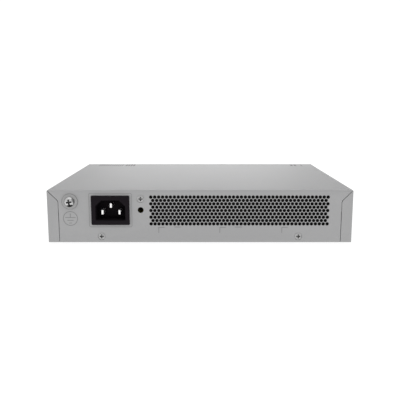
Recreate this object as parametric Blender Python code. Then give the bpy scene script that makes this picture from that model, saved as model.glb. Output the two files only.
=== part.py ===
"""Network switch, one rack unit high and a little over half a rack wide.

Frame: +Z up, the ports face -Y, the mains inlet faces +Y, and the rubber feet stand on z = 0.
The origin is the centre of the whole object's footprint.
"""

import math

import bmesh
import bpy
from mathutils import Matrix, Vector

MM = 0.001

# ---- Casing
WIDTH = 250.0 * MM
DEPTH = 180.0 * MM  # outer face of the front panel to outer face of the rear panel
BODY_HEIGHT = 43.6 * MM  # casing alone, without the feet
SHEET = 1.0 * MM
GAP = 0.3 * MM  # clearance between pieces that touch
BEND = 1.3 * MM  # outer radius of a bend in the sheet
STRIP = 9.2 * MM  # part of the rear that is folded in from each side wall
SEAM = 0.4 * MM  # open joint between that strip and the rear panel
KNEE = 4.0 * MM  # radius where the seam turns from the mitre to the vertical
LIP = 10.5 * MM  # height of the base's upturned edges at the sides and the rear
FRONT_LIP = 7.0 * MM  # lower at the front, below the ports

# ---- Feet
FOOT_DIAMETER = 12.0 * MM
FOOT_HEIGHT = 1.5 * MM
FOOT_INSET = 18.0 * MM

# ---- Screws
CASE_HEAD = 5.6 * MM
CASE_SHANK = 3.0 * MM
CASE_LENGTH = 4.5 * MM
CROSS_DEPTH = 0.7 * MM
BOARD_HEAD = 5.4 * MM
BOARD_HEAD_RISE = 1.8 * MM
BOARD_SCREW_LENGTH = 5.0 * MM

# ---- Ground terminal
GROUND_SHANK = 4.0 * MM
GROUND_HEAD = 8.6 * MM
GROUND_HEAD_RISE = 2.8 * MM
GROUND_CROWN = ((0.62, 1.0), (0.86, 0.82), (0.97, 0.55), (1.0, 0.25), (0.96, 0.0))  # widths, heights
GROUND_LENGTH = 9.0 * MM
WASHER_DIAMETER = 13.0 * MM
WASHER_THICKNESS = 0.8 * MM
NUT_DIAMETER = 8.0 * MM
NUT_LENGTH = 6.0 * MM

# ---- Rear panel, measured from the edge nearer the inlet and from the casing's underside
GROUND_FROM_EDGE = 18.8 * MM
GROUND_HEIGHT = 34.1 * MM
INLET_FROM_EDGE = 51.8 * MM
INLET_HEIGHT = 26.9 * MM
LATCH_FROM_EDGE = 76.5 * MM
LATCH_HEIGHT = 27.0 * MM
LATCH_HOLE = 5.0 * MM
BRACKET_SCREW_HEIGHT = 36.2 * MM
REAR_SCREW_FROM_EDGE = 44.0 * MM
REAR_SCREW_HEIGHT = 4.9 * MM
VENT_FROM_INLET_EDGE = 84.8 * MM  # limits of the perforated field
VENT_FROM_FAR_EDGE = 20.55 * MM
VENT_FROM_TOP = 5.3 * MM
VENT_HEIGHT = 15.5 * MM
VENT_PITCH = 3.21 * MM
VENT_ROW_PITCH = 2.79 * MM
VENT_HOLE = 2.2 * MM  # across the flats

# ---- Mains inlet
FLANGE_WIDTH = 31.2 * MM
FLANGE_HEIGHT = 24.2 * MM
FLANGE_THICKNESS = 1.2 * MM
INLET_WIDTH = 27.6 * MM
INLET_BODY_HEIGHT = 20.2 * MM
INLET_LENGTH = 21.0 * MM  # inside the casing
CAVITY_WIDTH = 24.4 * MM
CAVITY_HEIGHT = 16.6 * MM
CAVITY_CUT = 5.0 * MM  # slanted corners on the earth side
CAVITY_DEPTH = 16.0 * MM
PIN_WIDTH = 2.0 * MM
PIN_HEIGHT = 4.0 * MM
PIN_SPACING = 14.0 * MM
PIN_RECESS = 4.0 * MM  # pin tips behind the flange's face
PIN_TAIL = 7.0 * MM
EARTH_RISE = 3.4 * MM  # earth pin above the cavity's centre
POLE_DROP = 2.2 * MM  # line and neutral pins below it
BRACKET_WIDTH = 9.0 * MM
BRACKET_LEG = 14.0 * MM
WIRE_DIAMETER = 2.2 * MM
WIRE_LEAD = 2.0 * MM  # straight length at each end of a wire
POLE_BOW = 5.0 * MM  # how far a wire's slack stands out
EARTH_BOW = 8.0 * MM
TERMINAL_PITCH = 5.4 * MM
HARNESS_DIAMETER = 4.4 * MM
HARNESS_BOW = 7.0 * MM

# ---- Front panel and side walls
FRONT_SCREW_INSET = 7.0 * MM
FRONT_SCREW_HEIGHT = 3.9 * MM
SIDE_SCREW_FROM_FRONT = 46.0 * MM
SIDE_SCREW_HEIGHT = 6.2 * MM
EAR_HOLE = 4.0 * MM
EAR_FROM_FRONT = 12.0 * MM
EAR_SPACING_Y = 22.0 * MM
EAR_SPACING_Z = 16.0 * MM
SLOT_LENGTH = 16.0 * MM
SLOT_WIDTH = 3.0 * MM
SLOT_PITCH = 7.0 * MM
SLOTS_FROM_FRONT = 56.0 * MM
SLOTS_FROM_REAR = 24.0 * MM

# ---- Boards
BOARD = 1.6 * MM
BOARD_MARGIN = 4.0 * MM
BOARD_HOLE = 3.6 * MM
BOSS_HEIGHT = 6.3 * MM  # pressed up from the base, under the boards
BOSS_DIAMETER = 6.4 * MM
BOSS_INSET = 5.0 * MM  # from the boards' edges
MAIN_DEPTH = 76.0 * MM  # part of the main board behind the ports, over the whole width
MAIN_TAIL = 24.0 * MM  # its narrower part ends this far from the rear panel
POWER_TAIL = 6.0 * MM
POWER_WIDTH = 92.0 * MM
BOARD_SPACING = 4.0 * MM

# ---- Ports
PORTS_PER_BLOCK = 4
JACK_PITCH = 13.6 * MM
JACK_HEIGHT = 13.2 * MM
JACK_LENGTH = 18.0 * MM
JACK_MOUTH = 11.6 * MM
JACK_MOUTH_HEIGHT = 6.8 * MM
JACK_LATCH = 6.2 * MM
JACK_LATCH_HEIGHT = 2.6 * MM
JACK_CAVITY_DEPTH = 13.0 * MM
SHIELD = 0.5 * MM
SFP_CAGES = 2
SFP_PITCH = 16.0 * MM
SFP_WIDTH = 14.8 * MM
SFP_HEIGHT = 9.8 * MM
SFP_LENGTH = 46.0 * MM
SFP_WALL = 0.6 * MM
SFP_CONNECTOR = 8.0 * MM
PORT_PROUD = 0.3 * MM
PORTS_FROM_EDGE = 14.0 * MM
BLOCK_SPACING = 3.0 * MM

# ---- Status lights and mode button
STATUS_LIGHTS = 3
STATUS_PITCH = 4.2 * MM
LIGHT_SIZE = 1.8 * MM
LIGHT_RISE = 19.0 * MM  # above the main board
PIPE_DEPTH = 5.0 * MM
BUTTON_DIAMETER = 4.0 * MM
BUTTON_COLLAR = 6.0 * MM
BUTTON_COLLAR_THICKNESS = 1.0 * MM
BUTTON_STEM = 2.4 * MM
BUTTON_STEM_LENGTH = 3.0 * MM  # inside the switch
BUTTON_PROUD = 1.0 * MM
BUTTON_TRAVEL = 0.7 * MM
BUTTON_RISE = 7.0 * MM
TACT_WIDTH = 7.0 * MM
TACT_DEPTH = 6.0 * MM

# ---- Board components: width, depth, height
SWITCH_CHIP = (27.0 * MM, 27.0 * MM, 2.0 * MM)
HEATSINK = (40.0 * MM, 34.0 * MM, 13.0 * MM)
HEATSINK_BASE = 3.0 * MM
HEATSINK_FINS = 7
FIN = 1.4 * MM
MAGNETICS = (15.0 * MM, 9.0 * MM, 5.5 * MM)
TRANSFORMER_CORE = (26.0 * MM, 24.0 * MM, 19.0 * MM)
CORE_LEG = 6.0 * MM
CAPACITOR_DIAMETER = 16.0 * MM
CAPACITOR_HEIGHT = 25.0 * MM
OUTPUT_CAPACITOR_DIAMETER = 10.0 * MM
OUTPUT_CAPACITOR_HEIGHT = 16.0 * MM
CHOKE = (16.0 * MM, 12.0 * MM, 15.0 * MM)
TERMINAL = (17.0 * MM, 8.0 * MM, 9.0 * MM)
DC_PLUG = (12.0 * MM, 7.0 * MM, 8.0 * MM)
FILM = 0.4 * MM

# ---- Where things are
GROUND_PROUD = GAP + WASHER_THICKNESS + GAP + GROUND_HEAD_RISE
OVERALL_DEPTH = BUTTON_PROUD + DEPTH + GROUND_PROUD
REAR = OVERALL_DEPTH / 2 - GROUND_PROUD
FRONT = REAR - DEPTH
BOTTOM = FOOT_HEIGHT
TOP = BOTTOM + BODY_HEIGHT
FLOOR = BOTTOM + SHEET
CEILING = TOP - SHEET
HALF = WIDTH / 2
PANEL_HALF = HALF - SHEET - GAP  # the base and the front panel reach this far out
BASE_REAR = REAR - SHEET - GAP
BASE_FRONT = FRONT + SHEET + GAP
BOARD_HALF = PANEL_HALF - SHEET - BOARD_MARGIN
BOARD_Z = FLOOR + BOSS_HEIGHT + GAP  # underside of both boards
PARTS_Z = BOARD_Z + BOARD + GAP  # underside of what sits on them
BOARD_FRONT = BASE_FRONT + SHEET + 2 * GAP
MAIN_REAR = BOARD_FRONT + MAIN_DEPTH
POWER_LEFT = BOARD_HALF - POWER_WIDTH
POWER_FRONT = MAIN_REAR + BOARD_SPACING
POWER_REAR = BASE_REAR - SHEET - POWER_TAIL
WING_RIGHT = POWER_LEFT - BOARD_SPACING
WING_REAR = BASE_REAR - MAIN_TAIL

INLET_X = HALF - INLET_FROM_EDGE
INLET_Z = BOTTOM + INLET_HEIGHT
GROUND_X = HALF - GROUND_FROM_EDGE
GROUND_Z = BOTTOM + GROUND_HEIGHT
LATCH_X = HALF - LATCH_FROM_EDGE
LATCH_Z = BOTTOM + LATCH_HEIGHT
BRACKET_Z = BOTTOM + BRACKET_SCREW_HEIGHT
REAR_SCREWS = [(side * (HALF - REAR_SCREW_FROM_EDGE), BOTTOM + REAR_SCREW_HEIGHT) for side in (-1, 1)]
FRONT_SCREW_X = PANEL_HALF - FRONT_SCREW_INSET
FRONT_SCREWS = [(side * FRONT_SCREW_X, BOTTOM + FRONT_SCREW_HEIGHT) for side in (-1, 1)]
SIDE_SCREW_Y = FRONT + SIDE_SCREW_FROM_FRONT
SIDE_SCREW_Z = BOTTOM + SIDE_SCREW_HEIGHT

BLOCK_WIDTH = PORTS_PER_BLOCK * JACK_PITCH + 2 * SHIELD
JACK_WIDTH = JACK_PITCH + 2 * SHIELD
STATUS_X = -HALF + PORTS_FROM_EDGE
BUTTON_X = STATUS_X
BUTTON_Z = PARTS_Z + BUTTON_RISE
CONSOLE_X = STATUS_X + STATUS_PITCH * STATUS_LIGHTS / 2 + BLOCK_SPACING + JACK_WIDTH / 2
BLOCK_X = [
    CONSOLE_X + JACK_WIDTH / 2 + BLOCK_WIDTH / 2 + BLOCK_SPACING + i * (BLOCK_WIDTH + BLOCK_SPACING)
    for i in range(2)
]
SFP_RIGHT = HALF - PORTS_FROM_EDGE
SFP_LEFT = SFP_RIGHT - SFP_WIDTH - (SFP_CAGES - 1) * SFP_PITCH
SFP_XS = [SFP_LEFT + SFP_WIDTH / 2 + i * SFP_PITCH for i in range(SFP_CAGES)]
COLLAR_FRONT = FRONT + SHEET + GAP
TACT_FRONT = COLLAR_FRONT + BUTTON_COLLAR_THICKNESS + BUTTON_TRAVEL + GAP

ROUND = 12  # sides of a small round piece

MATERIALS = {  # colour, roughness, metallic
    "grey_paint": ((0.38, 0.38, 0.385), 0.5, 0.0),
    "zinc_steel": ((0.62, 0.63, 0.65), 0.35, 0.9),
    "bright_screw": ((0.72, 0.72, 0.72), 0.25, 1.0),
    "black_plastic": ((0.018, 0.017, 0.019), 0.5, 0.0),
    "tinned_brass": ((0.75, 0.74, 0.70), 0.3, 1.0),
    "rubber": ((0.03, 0.03, 0.03), 0.85, 0.0),
    "board_green": ((0.02, 0.13, 0.06), 0.45, 0.0),
    "heatsink_black": ((0.05, 0.05, 0.055), 0.45, 0.6),
    "chip_black": ((0.03, 0.03, 0.032), 0.5, 0.0),
    "clear_acrylic": ((0.85, 0.87, 0.88), 0.12, 0.0),
    "button_grey": ((0.30, 0.30, 0.31), 0.45, 0.0),
    "yellow_tape": ((0.55, 0.42, 0.05), 0.5, 0.0),
    "ferrite": ((0.06, 0.06, 0.065), 0.6, 0.0),
    "capacitor_sleeve": ((0.03, 0.05, 0.12), 0.35, 0.0),
    "wire_brown": ((0.16, 0.06, 0.02), 0.5, 0.0),
    "wire_blue": ((0.03, 0.10, 0.35), 0.5, 0.0),
    "wire_green": ((0.10, 0.35, 0.05), 0.5, 0.0),
    "wire_black": ((0.02, 0.02, 0.02), 0.5, 0.0),
    "white_nylon": ((0.80, 0.79, 0.75), 0.5, 0.0),
}


# ---------------------------------------------------------------- scene and objects
def clear_scene():
    for obj in list(bpy.data.objects):
        bpy.data.objects.remove(obj)


def material(name):
    made = bpy.data.materials.get(name)
    if made is None:
        colour, roughness, metallic = MATERIALS[name]
        made = bpy.data.materials.new(name)
        made.use_nodes = True
        shader = made.node_tree.nodes["Principled BSDF"]
        shader.inputs["Base Color"].default_value = (*colour, 1.0)
        shader.inputs["Roughness"].default_value = roughness
        shader.inputs["Metallic"].default_value = metallic
    return made


def mesh_of(name, bm, smooth=False):
    bmesh.ops.recalc_face_normals(bm, faces=bm.faces)
    mesh = bpy.data.meshes.new(name)
    bm.to_mesh(mesh)
    bm.free()
    if smooth:
        mesh.shade_smooth()
        mesh.set_sharp_from_angle(angle=math.radians(35))
    return mesh


def add(name, shape, material_name, at=(0, 0, 0), turn=None, smooth=False):
    """Puts a bmesh, or a mesh that several objects share, into the scene as one named piece."""
    mesh = shape if isinstance(shape, bpy.types.Mesh) else mesh_of(name, shape, smooth)
    if not mesh.materials:
        mesh.materials.append(material(material_name))
    obj = bpy.data.objects.new(name, mesh)
    obj.matrix_basis = Matrix.Translation(at) @ (turn or Matrix())
    bpy.context.scene.collection.objects.link(obj)
    return obj


def combine(obj, operation, shapes):
    """Adds or cuts world-space bmeshes that don't touch each other, with one Boolean."""
    bm = bmesh.new()
    for shape in shapes:
        mesh = mesh_of("operand", shape)
        bm.from_mesh(mesh)
        bpy.data.meshes.remove(mesh)
    helper = add(f"{obj.name}_{operation.lower()}", bm, "grey_paint")
    helper.hide_render = True
    helper.display_type = "WIRE"
    modifier = obj.modifiers.new(operation.title(), "BOOLEAN")
    modifier.operation = operation
    modifier.solver = "EXACT"
    modifier.object = helper


TO_REAR = Matrix.Rotation(math.radians(-90), 4, "X")  # a turned piece's top faces +Y
TO_FRONT = Matrix.Rotation(math.radians(90), 4, "X")


def to_side(side):
    return Matrix.Rotation(math.radians(90 * side), 4, "Y")


# ---------------------------------------------------------------- outlines, as lists of (u, v)
def rectangle(low_u, high_u, low_v, high_v):
    return [(low_u, low_v), (high_u, low_v), (high_u, high_v), (low_u, high_v)]


def centred(u, v, width, height):
    return rectangle(u - width / 2, u + width / 2, v - height / 2, v + height / 2)


def ring(u, v, diameter, sides=ROUND):
    """Regular polygon whose corners lie on the circle, with a flat side towards each axis."""
    steps = ((i + 0.5) * math.tau / sides for i in range(sides))
    return [(u + diameter / 2 * math.cos(a), v + diameter / 2 * math.sin(a)) for a in steps]


def arc(u, v, radius, start, end, steps):
    """Points along an arc, from start to end in degrees."""
    angles = (math.radians(start + (end - start) * i / steps) for i in range(steps + 1))
    return [(u + radius * math.cos(a), v + radius * math.sin(a)) for a in angles]


def mirrored(points):
    return [(-u, v) for u, v in reversed(points)]


# ---------------------------------------------------------------- solids from outlines
def upright(y):
    """Outline in x and z, thickness towards +Y from the plane y."""
    return lambda u, v, w: (u, y + w, v)


def level(z):
    """Outline in x and y, thickness up from the plane z."""
    return lambda u, v, w: (u, v, z + w)


def sideways(x):
    """Outline in y and z, thickness towards +X from the plane x."""
    return lambda u, v, w: (x + w, u, v)


def slab(place, thickness, outline, holes=(), far_holes=None):
    """Plate with holes through it; far_holes are their outlines on the far face, if they taper."""
    bm = bmesh.new()

    def face_loops(w, outlines):
        loops = [[bm.verts.new(place(u, v, w)) for u, v in points] for points in outlines]
        edges = [bm.edges.new((loop[i - 1], loop[i])) for loop in loops for i in range(len(loop))]
        bmesh.ops.triangle_fill(bm, edges=edges, use_beauty=True)
        return loops

    near = face_loops(0, [outline, *holes])
    far = face_loops(thickness, [outline, *(far_holes or holes)])
    for a, b in zip(near, far):
        for i in range(len(a)):
            bm.faces.new((a[i - 1], a[i], b[i], b[i - 1]))
    return bm


def box(low, high):
    return slab(level(low[2]), high[2] - low[2], rectangle(low[0], high[0], low[1], high[1]))


def block(x, y, z, size):
    """Box standing on z, centred on x and y."""
    width, depth, height = size
    return slab(level(z), height, centred(x, y, width, depth))


def turned(profile, sides=ROUND, cross=0.0):
    """Solid of revolution about +Z from (diameter, z) points, top to bottom, with flat ends.

    cross is the width across a cross-shaped driver recess in the top face.
    """
    bm = bmesh.new()
    rings = [[bm.verts.new((u, v, z)) for u, v in ring(0, 0, d, sides)] for d, z in profile]
    for above, below in zip(rings, rings[1:]):
        for i in range(sides):
            bm.faces.new((above[i - 1], above[i], below[i], below[i - 1]))
    bm.faces.new(rings[-1])
    if not cross:
        bm.faces.new(rings[0])
        return bm
    arm, half = cross / 2, cross / 8
    corner = ((arm, -half), (arm, half), (half, half))
    spin = ((1, 0), (0, 1), (-1, 0), (0, -1))
    outline = [(u * c - v * s, u * s + v * c) for c, s in spin for u, v in corner]
    top = profile[0][1]
    mouth = [bm.verts.new((u, v, top)) for u, v in outline]
    floor = [bm.verts.new((u * 0.8, v * 0.8, top - CROSS_DEPTH)) for u, v in outline]
    edges = [bm.edges.get((rings[0][i - 1], rings[0][i])) for i in range(sides)]
    edges += [bm.edges.new((mouth[i - 1], mouth[i])) for i in range(len(mouth))]
    bmesh.ops.triangle_fill(bm, edges=edges, use_beauty=True)
    for i in range(len(mouth)):
        bm.faces.new((mouth[i - 1], mouth[i], floor[i], floor[i - 1]))
    bm.faces.new(floor)
    return bm


def placed(bm, turn, at):
    bmesh.ops.transform(bm, verts=bm.verts, matrix=Matrix.Translation(at) @ turn)
    return bm


def tube(name, points, diameter, material_name):
    """Round wire along a few points, with filled ends."""
    curve = bpy.data.curves.new(name, "CURVE")
    curve.dimensions = "3D"
    curve.bevel_depth = diameter / 2
    curve.bevel_resolution = 1
    curve.use_fill_caps = True
    spline = curve.splines.new("POLY")
    spline.points.add(len(points) - 1)
    for point, place in zip(spline.points, points):
        point.co = (*place, 1.0)
    curve.materials.append(material(material_name))
    obj = bpy.data.objects.new(name, curve)
    bpy.context.scene.collection.objects.link(obj)
    return obj


def wire_route(start, start_way, end, end_way, bow, steps=8):
    """Points of a wire that leaves both ends straight, and bows out by a given length."""
    start, start_way, end, end_way = (Vector(v) for v in (start, start_way, end, end_way))
    first, last = start + WIRE_LEAD * start_way, end + WIRE_LEAD * end_way
    controls = (first, first + bow * start_way, last + bow * end_way, last)
    points = [start]
    for i in range(steps + 1):
        t = i / steps
        weights = ((1 - t) ** 3, 3 * t * (1 - t) ** 2, 3 * t * t * (1 - t), t**3)
        points.append(sum((w * p for w, p in zip(weights, controls)), Vector()))
    return [*points, end]


# ---------------------------------------------------------------- casing
def seam_line(offset, end_x, end_z):
    """Points up the seam at +X, moved outwards by offset, as far as end_x or end_z.

    The seam is vertical, turns through a rounded knee, and then slants to the casing's corner.
    """
    x = HALF - STRIP + offset
    reach = KNEE * math.tan(math.radians(22.5))
    slant = offset * (math.sqrt(2) - 1)  # keeps the joint equally wide along the mitre
    knee_z = TOP - STRIP - slant
    curve = arc(x + KNEE, knee_z - reach, KNEE, 180, 135, 3)
    run = min(end_x - x, end_z - knee_z)
    return [(x, BOTTOM), *curve, (x + run, knee_z + run)]


CASE_HOLE = CASE_HEAD + 2 * GAP  # countersink at the surface


def ear_holes():
    """Centres, in y and z, of the four holes for a rack bracket in each side wall."""
    middle = (BOTTOM + LIP + CEILING) / 2
    ys = (FRONT + EAR_FROM_FRONT, FRONT + EAR_FROM_FRONT + EAR_SPACING_Y)
    return [(y, middle + s * EAR_SPACING_Z / 2) for y in ys for s in (-1, 1)]


def make_top_cover():
    """Top and side walls, folded from one sheet, with a strip turned in at each rear edge."""
    inner_bend = BEND - SHEET
    outer = arc(HALF - BEND, TOP - BEND, BEND, 0, 90, 3)
    inner = arc(HALF - BEND, TOP - BEND, inner_bend, 90, 0, 1)
    profile = [
        (HALF, BOTTOM),
        *outer,
        *mirrored(outer),
        (-HALF, BOTTOM),
        (SHEET - HALF, BOTTOM),
        *mirrored(inner),
        *inner,
        (HALF - SHEET, BOTTOM),
    ]
    cover = add("top_cover", slab(upright(FRONT), DEPTH, profile), "grey_paint")
    wall = HALF - SHEET / 2  # the strips end inside the walls that they are folded from
    strip = [*seam_line(SEAM / 2, wall, TOP), (wall, BOTTOM)]
    strips = [slab(upright(REAR - SHEET), SHEET, side) for side in (strip, mirrored(strip))]
    combine(cover, "UNION", strips)

    cuts = []
    slot_z = (BOTTOM + LIP + CEILING) / 2
    first, last = FRONT + SLOTS_FROM_FRONT, REAR - SLOTS_FROM_REAR
    count = int((last - first) / SLOT_PITCH) + 1
    through = 3 * SHEET
    for side in (-1, 1):
        place = sideways(side * (HALF - SHEET / 2) - through / 2)
        slots = [centred(first + i * SLOT_PITCH, slot_z, SLOT_WIDTH, SLOT_LENGTH) for i in range(count)]
        ears = [ring(y, z, EAR_HOLE, 8) for y, z in ear_holes()]
        cuts += [slab(place, through, outline) for outline in slots + ears]
        cone = turned([(CASE_HOLE + 2 * SHEET, SHEET), (CASE_HOLE - 4 * SHEET, -2 * SHEET)])
        cuts.append(placed(cone, to_side(side), (side * HALF, SIDE_SCREW_Y, SIDE_SCREW_Z)))
    combine(cover, "DIFFERENCE", cuts)


def make_base():
    """Tray with four upturned edges, which the panels and the cover are screwed to."""
    tray = box((-PANEL_HALF, BASE_FRONT, BOTTOM), (PANEL_HALF, BASE_REAR, BOTTOM + LIP))
    base = add("base_chassis", tray, "zinc_steel")
    inside = PANEL_HALF - SHEET
    above = BOTTOM + 2 * LIP
    hollow = box((-inside, BASE_FRONT + SHEET, FLOOR), (inside, BASE_REAR - SHEET, above))
    combine(base, "DIFFERENCE", [hollow])
    low_edge = BOTTOM + FRONT_LIP
    step = box((-HALF, BASE_FRONT - SHEET, low_edge), (HALF, BASE_FRONT + 3 * SHEET, above))
    combine(base, "DIFFERENCE", [step])
    screw_hole = CASE_SHANK + 2 * GAP
    through = 3 * SHEET
    edges = ((BASE_REAR - 2 * SHEET, REAR_SCREWS), (BASE_FRONT - SHEET, FRONT_SCREWS))
    holes = [
        slab(upright(y), through, ring(x, z, screw_hole, 8)) for y, places in edges for x, z in places
    ]
    for side in (-1, 1):
        place = sideways(side * (PANEL_HALF - SHEET / 2) - through / 2)
        holes.append(slab(place, through, ring(SIDE_SCREW_Y, SIDE_SCREW_Z, screw_hole, 8)))
    bosses = []
    root = FLOOR - SHEET / 2
    for x, y in board_holes().values():
        post = ring(x, y, BOSS_DIAMETER, 8)
        bosses.append(slab(level(root), FLOOR + BOSS_HEIGHT - root, post))
        holes.append(slab(level(FLOOR), BOSS_HEIGHT + SHEET, ring(x, y, screw_hole, 8)))
    combine(base, "UNION", bosses)
    combine(base, "DIFFERENCE", holes)


def vent_holes():
    """Staggered rows of holes that fill the perforated field, from its low far corner."""
    left, right = VENT_FROM_FAR_EDGE - HALF, HALF - VENT_FROM_INLET_EDGE
    low, high = BOTTOM + VENT_HEIGHT, TOP - VENT_FROM_TOP
    columns = round((right - left) / VENT_PITCH) + 1
    rows = round((high - low) / VENT_ROW_PITCH) + 1
    start = (left + right) / 2 - (columns - 1) * VENT_PITCH / 2
    holes = []
    for row in range(rows):
        shift = row % 2
        z = low + row * VENT_ROW_PITCH
        for column in range(columns - shift):
            holes.append(centred(start + (column + shift / 2) * VENT_PITCH, z, VENT_HOLE, VENT_HOLE))
    return holes


def make_rear_panel():
    edge = seam_line(-SEAM / 2, HALF, CEILING - GAP)
    outline = edge + mirrored(edge)
    clear = 2 * GAP
    plain = [
        centred(INLET_X, INLET_Z, INLET_WIDTH + clear, INLET_BODY_HEIGHT + clear),
        ring(LATCH_X, LATCH_Z, LATCH_HOLE),
        ring(GROUND_X, GROUND_Z, NUT_DIAMETER + clear),
        *vent_holes(),
    ]
    screws = [*REAR_SCREWS, (LATCH_X, BRACKET_Z)]
    inner = [ring(x, z, CASE_HOLE - 2 * SHEET) for x, z in screws]
    outer = [ring(x, z, CASE_HOLE) for x, z in screws]
    panel = slab(upright(REAR - SHEET), SHEET, outline, [*plain, *inner], [*plain, *outer])
    add("rear_panel", panel, "grey_paint")


def make_front_panel():
    clear = 2 * GAP
    jacks = [(CONSOLE_X, JACK_WIDTH), *((x, BLOCK_WIDTH) for x in BLOCK_X)]
    jack_z = PARTS_Z + JACK_HEIGHT / 2
    cut_outs = [centred(x, jack_z, width + clear, JACK_HEIGHT + clear) for x, width in jacks]
    cage_top = PARTS_Z + SFP_HEIGHT + GAP
    cut_outs.append(rectangle(SFP_LEFT - GAP, SFP_RIGHT + GAP, PARTS_Z - GAP, cage_top))
    lights = [centred(x, z, LIGHT_SIZE + clear, LIGHT_SIZE + clear) for x, z in light_places()]
    button = ring(BUTTON_X, BUTTON_Z, BUTTON_DIAMETER + clear)
    plain = [*cut_outs, *lights, button]
    outer = [ring(x, z, CASE_HOLE) for x, z in FRONT_SCREWS]
    inner = [ring(x, z, CASE_HOLE - 2 * SHEET) for x, z in FRONT_SCREWS]
    outline = rectangle(-PANEL_HALF, PANEL_HALF, BOTTOM, CEILING - GAP)
    panel = slab(upright(FRONT), SHEET, outline, [*plain, *outer], [*plain, *inner])
    add("front_panel", panel, "grey_paint")


def make_feet():
    disc = turned([(FOOT_DIAMETER, BOTTOM - GAP), (FOOT_DIAMETER, 0.0)], 16)
    mesh = mesh_of("rubber_foot", disc, smooth=True)
    y_middle = (FRONT + REAR) / 2
    for i, (sx, sy) in enumerate(((-1, -1), (1, -1), (-1, 1), (1, 1)), 1):
        at = (sx * (HALF - FOOT_INSET), y_middle + sy * (DEPTH / 2 - FOOT_INSET), 0)
        add(f"rubber_foot_{i}", mesh, "rubber", at)


def make_case_screws():
    taper = CASE_HEAD / 2 - CASE_SHANK / 2
    profile = [(CASE_HEAD, 0), (CASE_SHANK, -taper), (CASE_SHANK, -CASE_LENGTH)]
    mesh = mesh_of("case_screw", turned(profile, cross=0.6 * CASE_HEAD), smooth=True)
    for (x, z), name in zip(REAR_SCREWS, ("far", "near")):
        add(f"rear_screw_{name}", mesh, "bright_screw", (x, REAR, z), TO_REAR)
    for (x, z), name in zip(FRONT_SCREWS, ("left", "right")):
        add(f"front_screw_{name}", mesh, "bright_screw", (x, FRONT, z), TO_FRONT)
    for side, name in ((-1, "left"), (1, "right")):
        at = (side * HALF, SIDE_SCREW_Y, SIDE_SCREW_Z)
        add(f"side_screw_{name}", mesh, "bright_screw", at, to_side(side))
    add("bracket_screw", mesh, "bright_screw", (LATCH_X, REAR, BRACKET_Z), TO_REAR)


# ---------------------------------------------------------------- ground terminal
def make_ground_terminal():
    bore = ring(GROUND_X, GROUND_Z, GROUND_SHANK + 2 * GAP)
    washer_y = REAR + GAP
    disc = ring(GROUND_X, GROUND_Z, WASHER_DIAMETER, 20)
    add("ground_washer", slab(upright(washer_y), WASHER_THICKNESS, disc, [bore]), "zinc_steel")
    barrel = ring(GROUND_X, GROUND_Z, NUT_DIAMETER)
    nut = slab(upright(REAR - NUT_LENGTH), NUT_LENGTH, barrel, [bore])
    add("ground_nut", nut, "zinc_steel")

    seat = washer_y + WASHER_THICKNESS + GAP
    head = [(width * GROUND_HEAD, height * GROUND_HEAD_RISE) for width, height in GROUND_CROWN]
    profile = [*head, (GROUND_SHANK, 0), (GROUND_SHANK, -GROUND_LENGTH)]
    add("ground_screw", turned(profile, cross=0.5 * GROUND_HEAD), "bright_screw",
        (GROUND_X, seat, GROUND_Z), TO_REAR, smooth=True)


# ---------------------------------------------------------------- mains inlet
PIN_PLACES = {
    "line": (INLET_X - PIN_SPACING / 2, INLET_Z - POLE_DROP),
    "neutral": (INLET_X + PIN_SPACING / 2, INLET_Z - POLE_DROP),
    "earth": (INLET_X, INLET_Z + EARTH_RISE),
}
FLANGE_FACE = REAR + GAP + FLANGE_THICKNESS
INLET_BACK = REAR - SHEET - INLET_LENGTH


def make_inlet():
    edge = centred(INLET_X, INLET_Z, FLANGE_WIDTH, FLANGE_HEIGHT)
    flange = slab(upright(REAR + GAP), FLANGE_THICKNESS, edge)
    housing = add("inlet_housing", flange, "black_plastic")
    length = REAR + GAP + FLANGE_THICKNESS / 2 - INLET_BACK
    body = slab(upright(INLET_BACK), length, centred(INLET_X, INLET_Z, INLET_WIDTH, INLET_BODY_HEIGHT))
    combine(housing, "UNION", [body])

    low, high = INLET_Z - CAVITY_HEIGHT / 2, INLET_Z + CAVITY_HEIGHT / 2
    wall = INLET_X + CAVITY_WIDTH / 2
    side = [(wall, low), (wall, high - CAVITY_CUT), (wall - CAVITY_CUT, high)]
    other = [(2 * INLET_X - x, z) for x, z in reversed(side)]
    cavity = slab(upright(FLANGE_FACE - CAVITY_DEPTH), CAVITY_DEPTH + SHEET, side + other)
    combine(housing, "DIFFERENCE", [cavity])
    through = FLANGE_FACE - CAVITY_DEPTH - INLET_BACK + 2 * SHEET
    width, height = PIN_WIDTH + 2 * GAP, PIN_HEIGHT + 2 * GAP
    places = PIN_PLACES.values()
    slots = [slab(upright(INLET_BACK - SHEET), through, centred(x, z, width, height)) for x, z in places]
    combine(housing, "DIFFERENCE", slots)
    back = INLET_BACK - PIN_TAIL
    for name, (x, z) in PIN_PLACES.items():
        blade = centred(x, z, PIN_WIDTH, PIN_HEIGHT)
        pin = slab(upright(back), FLANGE_FACE - PIN_RECESS - back, blade)
        add(f"inlet_pin_{name}", pin, "tinned_brass")


def make_bracket():
    """Angle that ties the rear panel, by its upper screw, to the mains insulation below."""
    back = REAR - SHEET - GAP
    low, high = LATCH_Z + LATCH_HOLE, CEILING - 2 * GAP
    outline = [(back, low), (back, high), (back - BRACKET_LEG, high), (back - BRACKET_LEG, high - SHEET),
               (back - SHEET, high - SHEET), (back - SHEET, low)]
    left = LATCH_X - BRACKET_WIDTH / 2
    bracket = add("rear_bracket", slab(sideways(left), BRACKET_WIDTH, outline), "zinc_steel")
    hole = slab(upright(back - 2 * SHEET), 3 * SHEET, ring(LATCH_X, BRACKET_Z, CASE_SHANK + 2 * GAP, 8))
    combine(bracket, "DIFFERENCE", [hole])


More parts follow.
